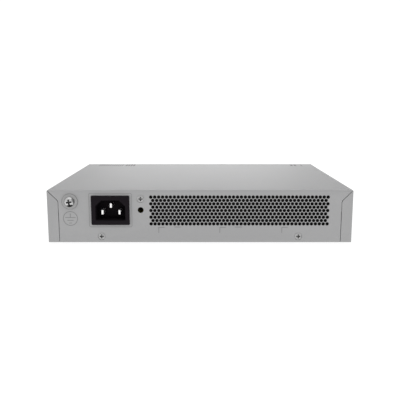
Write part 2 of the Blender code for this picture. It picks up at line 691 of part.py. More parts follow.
# ---------------------------------------------------------------- boards
def board_holes():
    """Where each board is screwed down, by screw name."""
    inset = BOSS_INSET
    return {
        "main_1": (inset - BOARD_HALF, MAIN_REAR - inset),
        "main_2": (BOARD_HALF - inset, MAIN_REAR - inset),
        "main_3": (WING_RIGHT - inset, WING_REAR - inset),
        "power_1": (POWER_LEFT + inset, POWER_FRONT + inset),
        "power_2": (BOARD_HALF - inset, POWER_FRONT + inset),
        "power_3": (POWER_LEFT + inset, POWER_REAR - inset),
    }


def make_boards():
    wing = [(WING_RIGHT, MAIN_REAR), (WING_RIGHT, WING_REAR), (-BOARD_HALF, WING_REAR)]
    main = [(-BOARD_HALF, BOARD_FRONT), (BOARD_HALF, BOARD_FRONT), (BOARD_HALF, MAIN_REAR), *wing]
    power = rectangle(POWER_LEFT, BOARD_HALF, POWER_FRONT, POWER_REAR)
    for name, outline in (("main", main), ("power", power)):
        places = [place for key, place in board_holes().items() if key.startswith(name)]
        holes = [ring(x, y, BOARD_HOLE, 8) for x, y in places]
        add(f"{name}_board", slab(level(BOARD_Z), BOARD, outline, holes), "board_green")

    head = BOARD_HEAD_RISE
    profile = [(0.7 * BOARD_HEAD, head), (BOARD_HEAD, head / 2), (BOARD_HEAD, 0), (CASE_SHANK, 0),
               (CASE_SHANK, -BOARD_SCREW_LENGTH)]
    screw = mesh_of("board_screw", turned(profile, 8), smooth=True)
    for name, (x, y) in board_holes().items():
        add(f"screw_{name}", screw, "bright_screw", (x, y, BOARD_Z + BOARD + GAP))

    under = (FLOOR + BOARD_Z) / 2
    clear = BOSS_DIAMETER + 4 * GAP
    holes = [ring(x, y, clear, 8) for name, (x, y) in board_holes().items() if name.startswith("power")]
    add("insulation_film", slab(level(under), FILM, power, holes), "black_plastic")


# ---------------------------------------------------------------- ports
def jack_mouth(x):
    """Opening for a plug: a wide slot with a narrower step above it for the latch."""
    half, latch = JACK_MOUTH / 2, JACK_LATCH / 2
    tall = JACK_MOUTH_HEIGHT + JACK_LATCH_HEIGHT
    low = PARTS_Z + (JACK_HEIGHT - tall) / 2
    step, high = low + JACK_MOUTH_HEIGHT, low + tall
    right = [(x + half, low), (x + half, step), (x + latch, step), (x + latch, high)]
    return right + [(2 * x - u, v) for u, v in reversed(right)]


def make_jacks(name, x, ports):
    """Row of sockets in one plastic insert, under a folded metal shield."""
    face = FRONT - PORT_PROUD
    half = (ports * JACK_PITCH) / 2 + SHIELD
    centres = [x + (i - (ports - 1) / 2) * JACK_PITCH for i in range(ports)]
    back = face + JACK_LENGTH
    top = PARTS_Z + JACK_HEIGHT
    shield = add(f"{name}_shield", box((x - half, face, PARTS_Z), (x + half, back, top)), "zinc_steel")
    inside = half - SHIELD
    hollow = box((x - inside, face + SHIELD, PARTS_Z - SHEET), (x + inside, back + SHEET, top - SHIELD))
    combine(shield, "DIFFERENCE", [hollow])
    mouths = [slab(upright(face - SHEET), 2 * SHEET, jack_mouth(u)) for u in centres]
    combine(shield, "DIFFERENCE", mouths)

    front = face + SHIELD + GAP
    half_insert = inside - GAP
    cavities = [jack_mouth(u) for u in centres]
    outline = rectangle(x - half_insert, x + half_insert, PARTS_Z, top - SHIELD - GAP)
    insert = add(f"{name}_insert", slab(upright(front), JACK_LENGTH - 2 * SHEET, outline), "black_plastic")
    reach = [slab(upright(front - SHEET), JACK_CAVITY_DEPTH + SHEET, outline) for outline in cavities]
    combine(insert, "DIFFERENCE", reach)


def make_sfp_cage():
    """Ganged cage, one sheet-metal box with a mouth for each module, and its board connectors."""
    face = FRONT - PORT_PROUD
    top = PARTS_Z + SFP_HEIGHT
    back = face + SFP_LENGTH
    cage = add("sfp_cage", box((SFP_LEFT, face, PARTS_Z), (SFP_RIGHT, back, top)), "zinc_steel")
    inside = SFP_WIDTH / 2 - SFP_WALL
    low, high = PARTS_Z + SFP_WALL, top - SFP_WALL
    hollows = [box((x - inside, face - SHEET, low), (x + inside, back - SFP_WALL, high)) for x in SFP_XS]
    combine(cage, "DIFFERENCE", hollows)
    rear = back - SFP_WALL - GAP
    half = inside - 2 * GAP
    for i, x in enumerate(SFP_XS, 1):
        contacts = box((x - half, rear - SFP_CONNECTOR, low + GAP), (x + half, rear, low + SFP_HEIGHT / 2))
        add(f"sfp_connector_{i}", contacts, "black_plastic")


def light_places():
    offsets = [(i - (STATUS_LIGHTS - 1) / 2) * STATUS_PITCH for i in range(STATUS_LIGHTS)]
    return [(STATUS_X + u, PARTS_Z + LIGHT_RISE) for u in offsets]


def make_light_pipe():
    """One clear moulding: a bar behind the panel with a finger through it for each light."""
    back = FRONT + SHEET + 2 * GAP
    width = STATUS_LIGHTS * STATUS_PITCH - GAP
    bar = slab(upright(back), PIPE_DEPTH, centred(STATUS_X, PARTS_Z + LIGHT_RISE, width, 2 * LIGHT_SIZE))
    pipe = add("light_pipe", bar, "clear_acrylic")
    length = back + SHEET - FRONT
    tips = [centred(x, z, LIGHT_SIZE, LIGHT_SIZE) for x, z in light_places()]
    combine(pipe, "UNION", [slab(upright(FRONT - PORT_PROUD), length, tip) for tip in tips])


def make_button():
    """Push button, held behind the panel by its collar, with a stem that slides in the switch."""
    collar_back = COLLAR_FRONT + BUTTON_COLLAR_THICKNESS
    stem_end = TACT_FRONT + BUTTON_STEM_LENGTH
    edges = [FRONT - BUTTON_PROUD, COLLAR_FRONT, collar_back, stem_end]
    face, front, back, end = (FRONT - y for y in edges)
    soft = 0.3 * MM
    profile = [(BUTTON_DIAMETER - 2 * soft, face), (BUTTON_DIAMETER, face - soft), (BUTTON_DIAMETER, front),
               (BUTTON_COLLAR, front), (BUTTON_COLLAR, back), (BUTTON_STEM, back), (BUTTON_STEM, end)]
    add("mode_button", turned(profile), "button_grey", (BUTTON_X, FRONT, BUTTON_Z), TO_FRONT, smooth=True)

    height = BUTTON_RISE + TACT_WIDTH / 2
    body = box((BUTTON_X - TACT_WIDTH / 2, TACT_FRONT, PARTS_Z),
               (BUTTON_X + TACT_WIDTH / 2, TACT_FRONT + TACT_DEPTH, PARTS_Z + height))
    tact = add("tact_switch", body, "chip_black")
    depth = BUTTON_STEM_LENGTH + BUTTON_TRAVEL + GAP
    bore = slab(upright(TACT_FRONT - SHEET), depth + SHEET, ring(BUTTON_X, BUTTON_Z, BUTTON_STEM + 2 * GAP))
    combine(tact, "DIFFERENCE", [bore])


# ---------------------------------------------------------------- parts on the boards
def make_main_parts():
    chip_x = BLOCK_X[1]
    chip_y = BOARD_FRONT + JACK_LENGTH + MAGNETICS[1] + HEATSINK[1] / 2 + 2 * BOARD_SPACING
    add("switch_chip", block(chip_x, chip_y, PARTS_Z, SWITCH_CHIP), "chip_black")
    sink_z = PARTS_Z + SWITCH_CHIP[2] + GAP
    width, depth, height = HEATSINK
    base_plate = block(chip_x, chip_y, sink_z, (width, depth, HEATSINK_BASE))
    heatsink = add("chip_heatsink", base_plate, "heatsink_black")
    spacing = (width - FIN - 2 * GAP) / (HEATSINK_FINS - 1)
    lap = HEATSINK_BASE / 2
    fin = (FIN, depth - 2 * GAP, height - lap)
    offsets = [(i - (HEATSINK_FINS - 1) / 2) * spacing for i in range(HEATSINK_FINS)]
    combine(heatsink, "UNION", [block(chip_x + u, chip_y, sink_z + lap, fin) for u in offsets])
    row_y = FRONT + JACK_LENGTH + MAGNETICS[1] / 2 + BOARD_SPACING
    for i, x in enumerate(BLOCK_X, 1):
        add(f"magnetics_{i}", block(x, row_y, PARTS_Z, MAGNETICS), "chip_black")


def make_power_parts():
    """Mains side towards the inlet, low-voltage side towards the main board."""
    middle = (POWER_LEFT + BOARD_HALF) / 2
    front = POWER_FRONT + 2 * BOARD_SPACING
    width, depth, height = TRANSFORMER_CORE
    core_y = front + depth / 2
    core = slab(
        upright(core_y - depth / 4), depth / 2, centred(middle, PARTS_Z + height / 2, width, height),
        [centred(middle, PARTS_Z + height / 2, width - 2 * CORE_LEG, height - CORE_LEG)],
    )
    add("transformer_core", core, "ferrite")
    winding = block(middle, core_y, PARTS_Z + CORE_LEG / 2 + GAP,
                    (width - 2 * CORE_LEG - 2 * GAP, depth, height - CORE_LEG - 2 * GAP))
    add("transformer_winding", winding, "yellow_tape")

    bulk = [(0.9, 1.0), (1.0, 0.96), (1.0, 0.04), (0.9, 0.0)]
    right = middle + width / 2 + BOARD_SPACING + CAPACITOR_DIAMETER / 2
    can = turned([(d * CAPACITOR_DIAMETER, h * CAPACITOR_HEIGHT) for d, h in bulk], 16)
    add("bulk_capacitor", can, "capacitor_sleeve", (right, core_y, PARTS_Z), smooth=True)
    small = [(d * OUTPUT_CAPACITOR_DIAMETER, h * OUTPUT_CAPACITOR_HEIGHT) for d, h in bulk]
    left = middle - width / 2 - BOARD_SPACING - OUTPUT_CAPACITOR_DIAMETER / 2
    add("output_capacitor", turned(small), "capacitor_sleeve", (left, core_y, PARTS_Z), smooth=True)

    rear = core_y + depth / 2 + BOARD_SPACING + TERMINAL[1] / 2
    add("mains_terminal", block(INLET_X, rear, PARTS_Z, TERMINAL), "white_nylon")
    choke_x = INLET_X - TERMINAL[0] / 2 - BOARD_SPACING - CHOKE[0] / 2
    add("filter_choke", block(choke_x, rear + (CHOKE[1] - TERMINAL[1]) / 2, PARTS_Z, CHOKE), "yellow_tape")

    top = PARTS_Z + TERMINAL[2] + GAP
    start_y = INLET_BACK - PIN_TAIL - GAP
    wires = {  # colour, place across the terminal, bow
        "line": ("wire_brown", -1, POLE_BOW),
        "neutral": ("wire_blue", 1, POLE_BOW),
        "earth": ("wire_green", 0, EARTH_BOW),
    }
    for name, (colour, column, bow) in wires.items():
        x, z = PIN_PLACES[name]
        end = (INLET_X + column * TERMINAL_PITCH, rear, top)
        route = wire_route((x, start_y, z), (0, -1, 0), end, (0, 0, 1), bow)
        tube(f"wire_{name}", route, WIRE_DIAMETER, colour)

    reach = 2 * BOARD_SPACING + DC_PLUG[0] / 2
    plugs = {  # on the power board's corner, and beside the heatsink
        "power": (POWER_LEFT + reach, POWER_FRONT + DC_PLUG[1]),
        "main": (BLOCK_X[1] + HEATSINK[0] / 2 + reach, MAIN_REAR - DC_PLUG[1]),
    }
    for name, (x, y) in plugs.items():
        add(f"dc_plug_{name}", block(x, y, PARTS_Z, DC_PLUG), "white_nylon")
    ends = [(x, y, PARTS_Z + DC_PLUG[2] + GAP) for x, y in plugs.values()]
    up = (0, 0, 1)
    tube("dc_harness", wire_route(ends[0], up, ends[1], up, HARNESS_BOW), HARNESS_DIAMETER, "wire_black")


clear_scene()
make_top_cover()
make_base()
make_rear_panel()
make_front_panel()
make_feet()
make_case_screws()
make_ground_terminal()
make_inlet()
make_bracket()
make_boards()
for jack_name, jack_x, count in (
    ("console_jack", CONSOLE_X, 1),
    ("port_block_1", BLOCK_X[0], PORTS_PER_BLOCK),
    ("port_block_2", BLOCK_X[1], PORTS_PER_BLOCK),
):
    make_jacks(jack_name, jack_x, count)
make_sfp_cage()
make_light_pipe()
make_button()
make_main_parts()
make_power_parts()
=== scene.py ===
import math

import bmesh
import bpy
from mathutils import Matrix, Vector


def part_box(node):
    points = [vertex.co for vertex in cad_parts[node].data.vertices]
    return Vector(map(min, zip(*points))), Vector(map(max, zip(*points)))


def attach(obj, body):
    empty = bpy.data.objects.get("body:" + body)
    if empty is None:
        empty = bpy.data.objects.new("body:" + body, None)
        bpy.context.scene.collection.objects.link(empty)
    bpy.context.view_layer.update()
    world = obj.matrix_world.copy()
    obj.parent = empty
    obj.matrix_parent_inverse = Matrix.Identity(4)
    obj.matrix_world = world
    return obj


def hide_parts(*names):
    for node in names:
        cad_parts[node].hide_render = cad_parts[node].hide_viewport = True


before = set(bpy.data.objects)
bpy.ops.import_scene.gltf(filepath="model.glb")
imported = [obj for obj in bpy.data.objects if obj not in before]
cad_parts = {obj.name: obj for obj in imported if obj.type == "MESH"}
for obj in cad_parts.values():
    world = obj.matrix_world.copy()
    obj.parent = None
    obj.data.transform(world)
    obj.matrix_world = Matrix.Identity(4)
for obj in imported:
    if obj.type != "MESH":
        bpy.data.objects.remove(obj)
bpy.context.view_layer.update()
mm = 0.001
print("frame loaded:", len(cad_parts), "nodes")

# the casing's own planes, as the frame has them
coverLow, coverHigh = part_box("top_cover")
panelLow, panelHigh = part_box("rear_panel")
frontLow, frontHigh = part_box("front_panel")
rear, front = panelHigh.y, frontLow.y
bottom, top = coverLow.z, coverHigh.z
half = coverHigh.x
casing = {
    "sheet": 1.0 * mm,
    "bend": 1.3 * mm,
    "rearRound": 0.8 * mm,  # outer radius where the strips and the top meet the rear
    "frontRound": 0.35 * mm,
    "strip": 9.2 * mm,
    "seam": 0.48 * mm,
    "knee": 4.0 * mm,
    "lip": 10.5 * mm,
    "screwMouth": 6.1 * mm,
}
sheet = casing["sheet"]
ceiling = top - sheet


def middle(node):
    low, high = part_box(node)
    return (low + high) / 2


# ---- outlines, as lists of (u, v)
def rectangle(lowU, highU, lowV, highV):
    return [(lowU, lowV), (highU, lowV), (highU, highV), (lowU, highV)]


def arc(u, v, radius, start, end, steps):
    angles = (math.radians(start + (end - start) * i / steps) for i in range(steps + 1))
    return [(u + radius * math.cos(a), v + radius * math.sin(a)) for a in angles]


def ring(u, v, diameter, sides=32):
    return arc(u, v, diameter / 2, 0, 360, sides)[:-1]


def roundedBox(lowU, highU, lowV, highV, radius, steps=4):
    corners = ((highU, lowV, -90), (highU, highV, 0), (lowU, highV, 90), (lowU, lowV, 180))
    points = []
    for u, v, turn in corners:
        inU = u - math.copysign(radius, u - (lowU + highU) / 2)
        inV = v - math.copysign(radius, v - (lowV + highV) / 2)
        points += arc(inU, inV, radius, turn, turn + 90, steps)
    return points


def mirrored(points, u=0.0):
    return [(2 * u - a, b) for a, b in reversed(points)]


# ---- places: where an outline and its thickness lie
def upright(y):
    return lambda u, v, w: (u, y + w, v)


def level(z):
    return lambda u, v, w: (u, v, z + w)


def sideways(x):
    return lambda u, v, w: (x + w, u, v)


# ---- solids
def plate(place, thickness, outline, holes=()):
    bm = bmesh.new()

    def faceLoops(w):
        loops = [[bm.verts.new(place(u, v, w)) for u, v in points] for points in (outline, *holes)]
        edges = [bm.edges.new((loop[i - 1], loop[i])) for loop in loops for i in range(len(loop))]
        bmesh.ops.triangle_fill(bm, edges=edges, use_beauty=True)
        return loops

    for near, far in zip(faceLoops(0), faceLoops(thickness)):
        for i in range(len(near)):
            bm.faces.new((near[i - 1], near[i], far[i], far[i - 1]))
    return bm


def box(low, high):
    return plate(level(low[2]), high[2] - low[2], rectangle(low[0], high[0], low[1], high[1]))


def lathe(profile, sides=48):
    bm = bmesh.new()
    rings = [[bm.verts.new((*p, z)) for p in ring(0, 0, 2 * r, sides)] for r, z in profile]
    for above, below in zip(rings, rings[1:]):
        for i in range(sides):
            bm.faces.new((above[i - 1], above[i], below[i], below[i - 1]))
    bm.faces.new(rings[0])
    bm.faces.new(rings[-1])
    return bm


def loft(loops):
    bm = bmesh.new()
    made = [[bm.verts.new(p) for p in loop] for loop in loops]
    for a, b in zip(made, made[1:]):
        for i in range(len(a)):
            bm.faces.new((a[i - 1], a[i], b[i], b[i - 1]))
    for loop in (made[0], made[-1]):
        edges = [bm.edges.get((loop[i - 1], loop[i])) for i in range(len(loop))]
        bmesh.ops.triangle_fill(bm, edges=edges, use_beauty=True)
    return bm


def cross(arm, depth, top=0.0):
    half = arm / 7
    outline = []
    for c, s in ((1, 0), (0, 1), (-1, 0), (0, -1)):
        for u, v in ((arm / 2, -half), (arm / 2, half), (half, half)):
            outline.append((u * c - v * s, u * s + v * c))
    mouth = [(u, v, top + depth) for u, v in outline]
    lip = [(u, v, top) for u, v in outline]
    floor = [(u * 0.62, v * 0.62, top - depth) for u, v in outline]
    return loft([mouth, lip, floor])


def gather(shapes):
    bm = bmesh.new()
    for shape in shapes:
        mesh = bpy.data.meshes.new("part")
        shape.to_mesh(mesh)
        shape.free()
        bm.from_mesh(mesh)
        bpy.data.meshes.remove(mesh)
    return bm


smoothAngle = math.radians(30)  # sharper edges than this stay sharp
bevelAngle = math.radians(35)


def meshOf(name, bm):
    bmesh.ops.recalc_face_normals(bm, faces=bm.faces)
    mesh = bpy.data.meshes.new(name)
    bm.to_mesh(mesh)
    bm.free()
    mesh.shade_smooth()
    mesh.set_sharp_from_angle(angle=smoothAngle)
    return mesh


def piece(name, shape, at=(0, 0, 0), turn=None):
    mesh = shape if isinstance(shape, bpy.types.Mesh) else meshOf(name, shape)
    obj = bpy.data.objects.new(name, mesh)
    obj.matrix_world = Matrix.Translation(at) @ (turn or Matrix())
    bpy.context.scene.collection.objects.link(obj)
    return obj


def carve(obj, operation, shapes):
    cutter = piece("cutter", gather(shapes))
    bpy.context.view_layer.update()
    modifier = obj.modifiers.new(operation, "BOOLEAN")
    modifier.operation = operation
    modifier.solver = "EXACT"
    modifier.object = cutter
    bake(obj)
    bpy.data.objects.remove(cutter)


def bake(obj):
    evaluated = obj.evaluated_get(bpy.context.evaluated_depsgraph_get())
    mesh = bpy.data.meshes.new_from_object(evaluated)
    obj.modifiers.clear()
    obj.data = mesh
    mesh.shade_smooth()
    mesh.set_sharp_from_angle(angle=smoothAngle)


def soften(obj, width, segments=3):
    modifier = obj.modifiers.new("edge", "BEVEL")
    modifier.width = width
    modifier.segments = segments
    modifier.limit_method = "ANGLE"
    modifier.angle_limit = bevelAngle
    bpy.context.view_layer.update()
    bake(obj)


toRear = Matrix.Rotation(math.radians(-90), 4, "X")
toFront = Matrix.Rotation(math.radians(90), 4, "X")


def toSide(side):
    return Matrix.Rotation(math.radians(90 * side), 4, "Y")


def settle(obj, material, body, slotName, *nodes):
    obj.data.materials.clear()
    obj.data.materials.append(material)
    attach(obj, body)
    if nodes:
        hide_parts(*nodes)
    return obj


def secondFinish(obj, material, wanted):
    obj.data.materials.append(material)
    for face in obj.data.polygons:
        if wanted(face):
            face.material_index = 1


# ---- materials
def newGroup(name, inputs, outputs):
    group = bpy.data.node_groups.new(name, "ShaderNodeTree")
    for label, kind, value in inputs:
        socket = group.interface.new_socket(label, in_out="INPUT", socket_type=kind)
        socket.default_value = value
    for label, kind in outputs:
        group.interface.new_socket(label, in_out="OUTPUT", socket_type=kind)
    return group, group.nodes.new("NodeGroupInput"), group.nodes.new("NodeGroupOutput")


def addNode(tree, kind, settings=None, **inputs):
    node = tree.nodes.new(kind)
    for key, value in (settings or {}).items():
        setattr(node, key, value)
    for label, value in inputs.items():
        socket = node.inputs[label.replace("_", " ")]
        if isinstance(value, bpy.types.NodeSocket):
            tree.links.new(value, socket)
        else:
            socket.default_value = value
    return node


def math2(tree, operation, a, b=0.0, clamp=False):
    node = tree.nodes.new("ShaderNodeMath")
    node.operation = operation
    node.use_clamp = clamp
    for socket, value in zip(node.inputs, (a, b)):
        if isinstance(value, bpy.types.NodeSocket):
            tree.links.new(value, socket)
        else:
            socket.default_value = value
    return node.outputs[0]


def blendColours(tree, factor, a, b):
    node = tree.nodes.new("ShaderNodeMix")
    node.data_type = "RGBA"
    for socket, value in zip((node.inputs[0], node.inputs[6], node.inputs[7]), (factor, a, b)):
        if isinstance(value, bpy.types.NodeSocket):
            tree.links.new(value, socket)
        else:
            socket.default_value = value
    return node.outputs[2]


def makeGrainGroup():
    # fine speckle, cloudy variation and orange peel, in the piece's own metres
    tree, given, out = newGroup(
        "surfaceGrain",
        [
            ("Colour", "NodeSocketColor", (0.5, 0.5, 0.5, 1)),
            ("Second Colour", "NodeSocketColor", (0.4, 0.4, 0.4, 1)),
            ("Grain Scale", "NodeSocketFloat", 2500.0),
            ("Cloud Scale", "NodeSocketFloat", 18.0),
            ("Roughness", "NodeSocketFloat", 0.5),
            ("Roughness Spread", "NodeSocketFloat", 0.06),
        ],
        [("Colour", "NodeSocketColor"), ("Roughness", "NodeSocketFloat"), ("Height", "NodeSocketFloat")],
    )
    place = tree.nodes.new("ShaderNodeTexCoord").outputs["Object"]
    fine = addNode(tree, "ShaderNodeTexNoise", Vector=place, Scale=given.outputs["Grain Scale"], Detail=3.0,
                   Roughness=0.6)
    cloud = addNode(tree, "ShaderNodeTexNoise", Vector=place, Scale=given.outputs["Cloud Scale"], Detail=4.0,
                    Roughness=0.55)
    speck = math2(tree, "MULTIPLY", fine.outputs[0], 0.55)
    mixed = math2(tree, "ADD", speck, math2(tree, "MULTIPLY", cloud.outputs[0], 0.45), clamp=True)
    colour = blendColours(tree, mixed, given.outputs["Colour"], given.outputs["Second Colour"])
    offset = math2(tree, "SUBTRACT", cloud.outputs[0], 0.5)
    spread = math2(tree, "MULTIPLY", offset, given.outputs["Roughness Spread"])
    rough = math2(tree, "ADD", given.outputs["Roughness"], spread, clamp=True)
    tree.links.new(colour, out.inputs["Colour"])
    tree.links.new(rough, out.inputs["Roughness"])
    tree.links.new(fine.outputs[0], out.inputs["Height"])
    return tree


def makeBrushGroup():
    # rolled or drawn metal: long thin streaks along one axis and a faint crystal pattern
    tree, given, out = newGroup(
        "metalStreaks",
        [
            ("Colour", "NodeSocketColor", (0.6, 0.6, 0.6, 1)),
            ("Dark Colour", "NodeSocketColor", (0.4, 0.4, 0.4, 1)),
            ("Stretch", "NodeSocketVector", (20.0, 900.0, 900.0)),
            ("Crystal Scale", "NodeSocketFloat", 160.0),
            ("Roughness", "NodeSocketFloat", 0.3),
        ],
        [("Colour", "NodeSocketColor"), ("Roughness", "NodeSocketFloat"), ("Height", "NodeSocketFloat")],
    )
    place = tree.nodes.new("ShaderNodeTexCoord").outputs["Object"]
    stretched = addNode(tree, "ShaderNodeMapping", Vector=place, Scale=given.outputs["Stretch"])
    streak = addNode(tree, "ShaderNodeTexNoise", Vector=stretched.outputs[0], Scale=1.0, Detail=4.0)
    crystal = addNode(tree, "ShaderNodeTexVoronoi", Vector=place, Scale=given.outputs["Crystal Scale"])
    tone = addNode(tree, "ShaderNodeRGBToBW", Color=crystal.outputs["Color"]).outputs[0]
    streakShare = math2(tree, "MULTIPLY", streak.outputs[0], 0.6)
    amount = math2(tree, "ADD", streakShare, math2(tree, "MULTIPLY", tone, 0.3))
    colour = blendColours(tree, amount, given.outputs["Colour"], given.outputs["Dark Colour"])
    vary = math2(tree, "MULTIPLY", math2(tree, "SUBTRACT", amount, 0.45), 0.25)
    rough = math2(tree, "ADD", given.outputs["Roughness"], vary, clamp=True)
    tree.links.new(colour, out.inputs["Colour"])
    tree.links.new(rough, out.inputs["Roughness"])
    tree.links.new(streak.outputs[0], out.inputs["Height"])
    return tree


def makeWearGroup():
    # pale rub marks on the outer edges, from how sharply the surface turns
    tree, given, out = newGroup(
        "edgeRub",
        [
            ("Colour", "NodeSocketColor", (0.5, 0.5, 0.5, 1)),
            ("Rub Colour", "NodeSocketColor", (0.7, 0.7, 0.7, 1)),
            ("Amount", "NodeSocketFloat", 0.3),
        ],
        [("Colour", "NodeSocketColor")],
    )
    place = tree.nodes.new("ShaderNodeTexCoord").outputs["Object"]
    sharp = tree.nodes.new("ShaderNodeNewGeometry").outputs["Pointiness"]
    edge = addNode(tree, "ShaderNodeMapRange", Value=sharp, From_Min=0.52, From_Max=0.62)
    broken = addNode(tree, "ShaderNodeTexNoise", Vector=place, Scale=220.0, Detail=5.0)
    mask = math2(tree, "MULTIPLY", edge.outputs[0], broken.outputs[0])
    factor = math2(tree, "MULTIPLY", mask, given.outputs["Amount"], clamp=True)
    rubbed = blendColours(tree, factor, given.outputs["Colour"], given.outputs["Rub Colour"])
    tree.links.new(rubbed, out.inputs["Colour"])
    return tree


grainGroup = makeGrainGroup()
brushGroup = makeBrushGroup()
wearGroup = makeWearGroup()


def grey(value, tint=0.0):
    return (value, value, value * (1 + tint), 1)


def startMaterial(name):
    made = bpy.data.materials.new(name)
    made.use_nodes = True
    return made, made.node_tree, made.node_tree.nodes["Principled BSDF"]


def useGroup(tree, group, **inputs):
    node = tree.nodes.new("ShaderNodeGroup")
    node.node_tree = group
    for label, value in inputs.items():
        socket = node.inputs[label.replace("_", " ")]
        if isinstance(value, bpy.types.NodeSocket):
            tree.links.new(value, socket)
        else:
            socket.default_value = value
    return node


def bumpInto(tree, shader, height, strength, distance):
    bump = addNode(tree, "ShaderNodeBump", Height=height, Strength=strength, Distance=distance)
    tree.links.new(bump.outputs[0], shader.inputs["Normal"])


def grainMaterial(name, colour, second, roughness, grain=2500.0, cloud=18.0, bump=0.12, depth=0.00004,
                  rub=None, **fixed):
    made, tree, shader = startMaterial(name)
    node = useGroup(tree, grainGroup, Colour=colour, Second_Colour=second, Grain_Scale=grain,
                    Cloud_Scale=cloud, Roughness=roughness)
    colourOut = node.outputs["Colour"]
    if rub:
        colourOut = useGroup(tree, wearGroup, Colour=colourOut, Rub_Colour=rub, Amount=0.5).outputs[0]
    tree.links.new(colourOut, shader.inputs["Base Color"])
    tree.links.new(node.outputs["Roughness"], shader.inputs["Roughness"])
    bumpInto(tree, shader, node.outputs["Height"], bump, depth)
    for label, value in fixed.items():
        shader.inputs[label.replace("_", " ")].default_value = value
    return made


def metalMaterial(name, colour, dark, roughness, stretch=(20.0, 900.0, 900.0), crystal=160.0,
                  metallic=1.0, **fixed):
    made, tree, shader = startMaterial(name)
    node = useGroup(tree, brushGroup, Colour=colour, Dark_Colour=dark, Stretch=stretch, Crystal_Scale=crystal,
                    Roughness=roughness)
    worn = useGroup(tree, wearGroup, Colour=node.outputs["Colour"], Rub_Colour=grey(0.85), Amount=0.3)
    tree.links.new(worn.outputs[0], shader.inputs["Base Color"])
    tree.links.new(node.outputs["Roughness"], shader.inputs["Roughness"])
    bumpInto(tree, shader, node.outputs["Height"], 0.05, 0.00002)
    shader.inputs["Metallic"].default_value = metallic
    for label, value in fixed.items():
        shader.inputs[label.replace("_", " ")].default_value = value
    return made


# painted reflections: the way a spot faces, where its shade starts and is full, and how dark it is
paintedReflectionShades = (
    ((-0.12, 0.66, -0.74), 0.81, 0.9, 0.015),
    ((-0.80, 0.45, 0.25), 0.78, 0.92, 0.2),
)


def chromeMaterial(name):
    # painted in place of a dark room's reflections: the shades follow the way each spot faces
    made, tree, shader = startMaterial(name)
    facing = tree.nodes.new("ShaderNodeNewGeometry").outputs["Normal"]
    node = useGroup(tree, brushGroup, Colour=grey(0.6), Dark_Colour=grey(0.52), Stretch=(500.0, 500.0, 60.0),
                    Crystal_Scale=200.0, Roughness=0.16)
    colour = node.outputs["Colour"]
    for way, low, high, shade in paintedReflectionShades:
        along = addNode(tree, "ShaderNodeVectorMath", {"operation": "DOT_PRODUCT"})
        tree.links.new(facing, along.inputs[0])
        along.inputs[1].default_value = Vector(way).normalized()
        mask = addNode(tree, "ShaderNodeMapRange", Value=along.outputs["Value"], From_Min=low, From_Max=high)
        colour = blendColours(tree, mask.outputs[0], colour, grey(shade))
    tree.links.new(colour, shader.inputs["Base Color"])
    tree.links.new(node.outputs["Roughness"], shader.inputs["Roughness"])
    bumpInto(tree, shader, node.outputs["Height"], 0.03, 0.00002)
    shader.inputs["Metallic"].default_value = 1.0
    return made


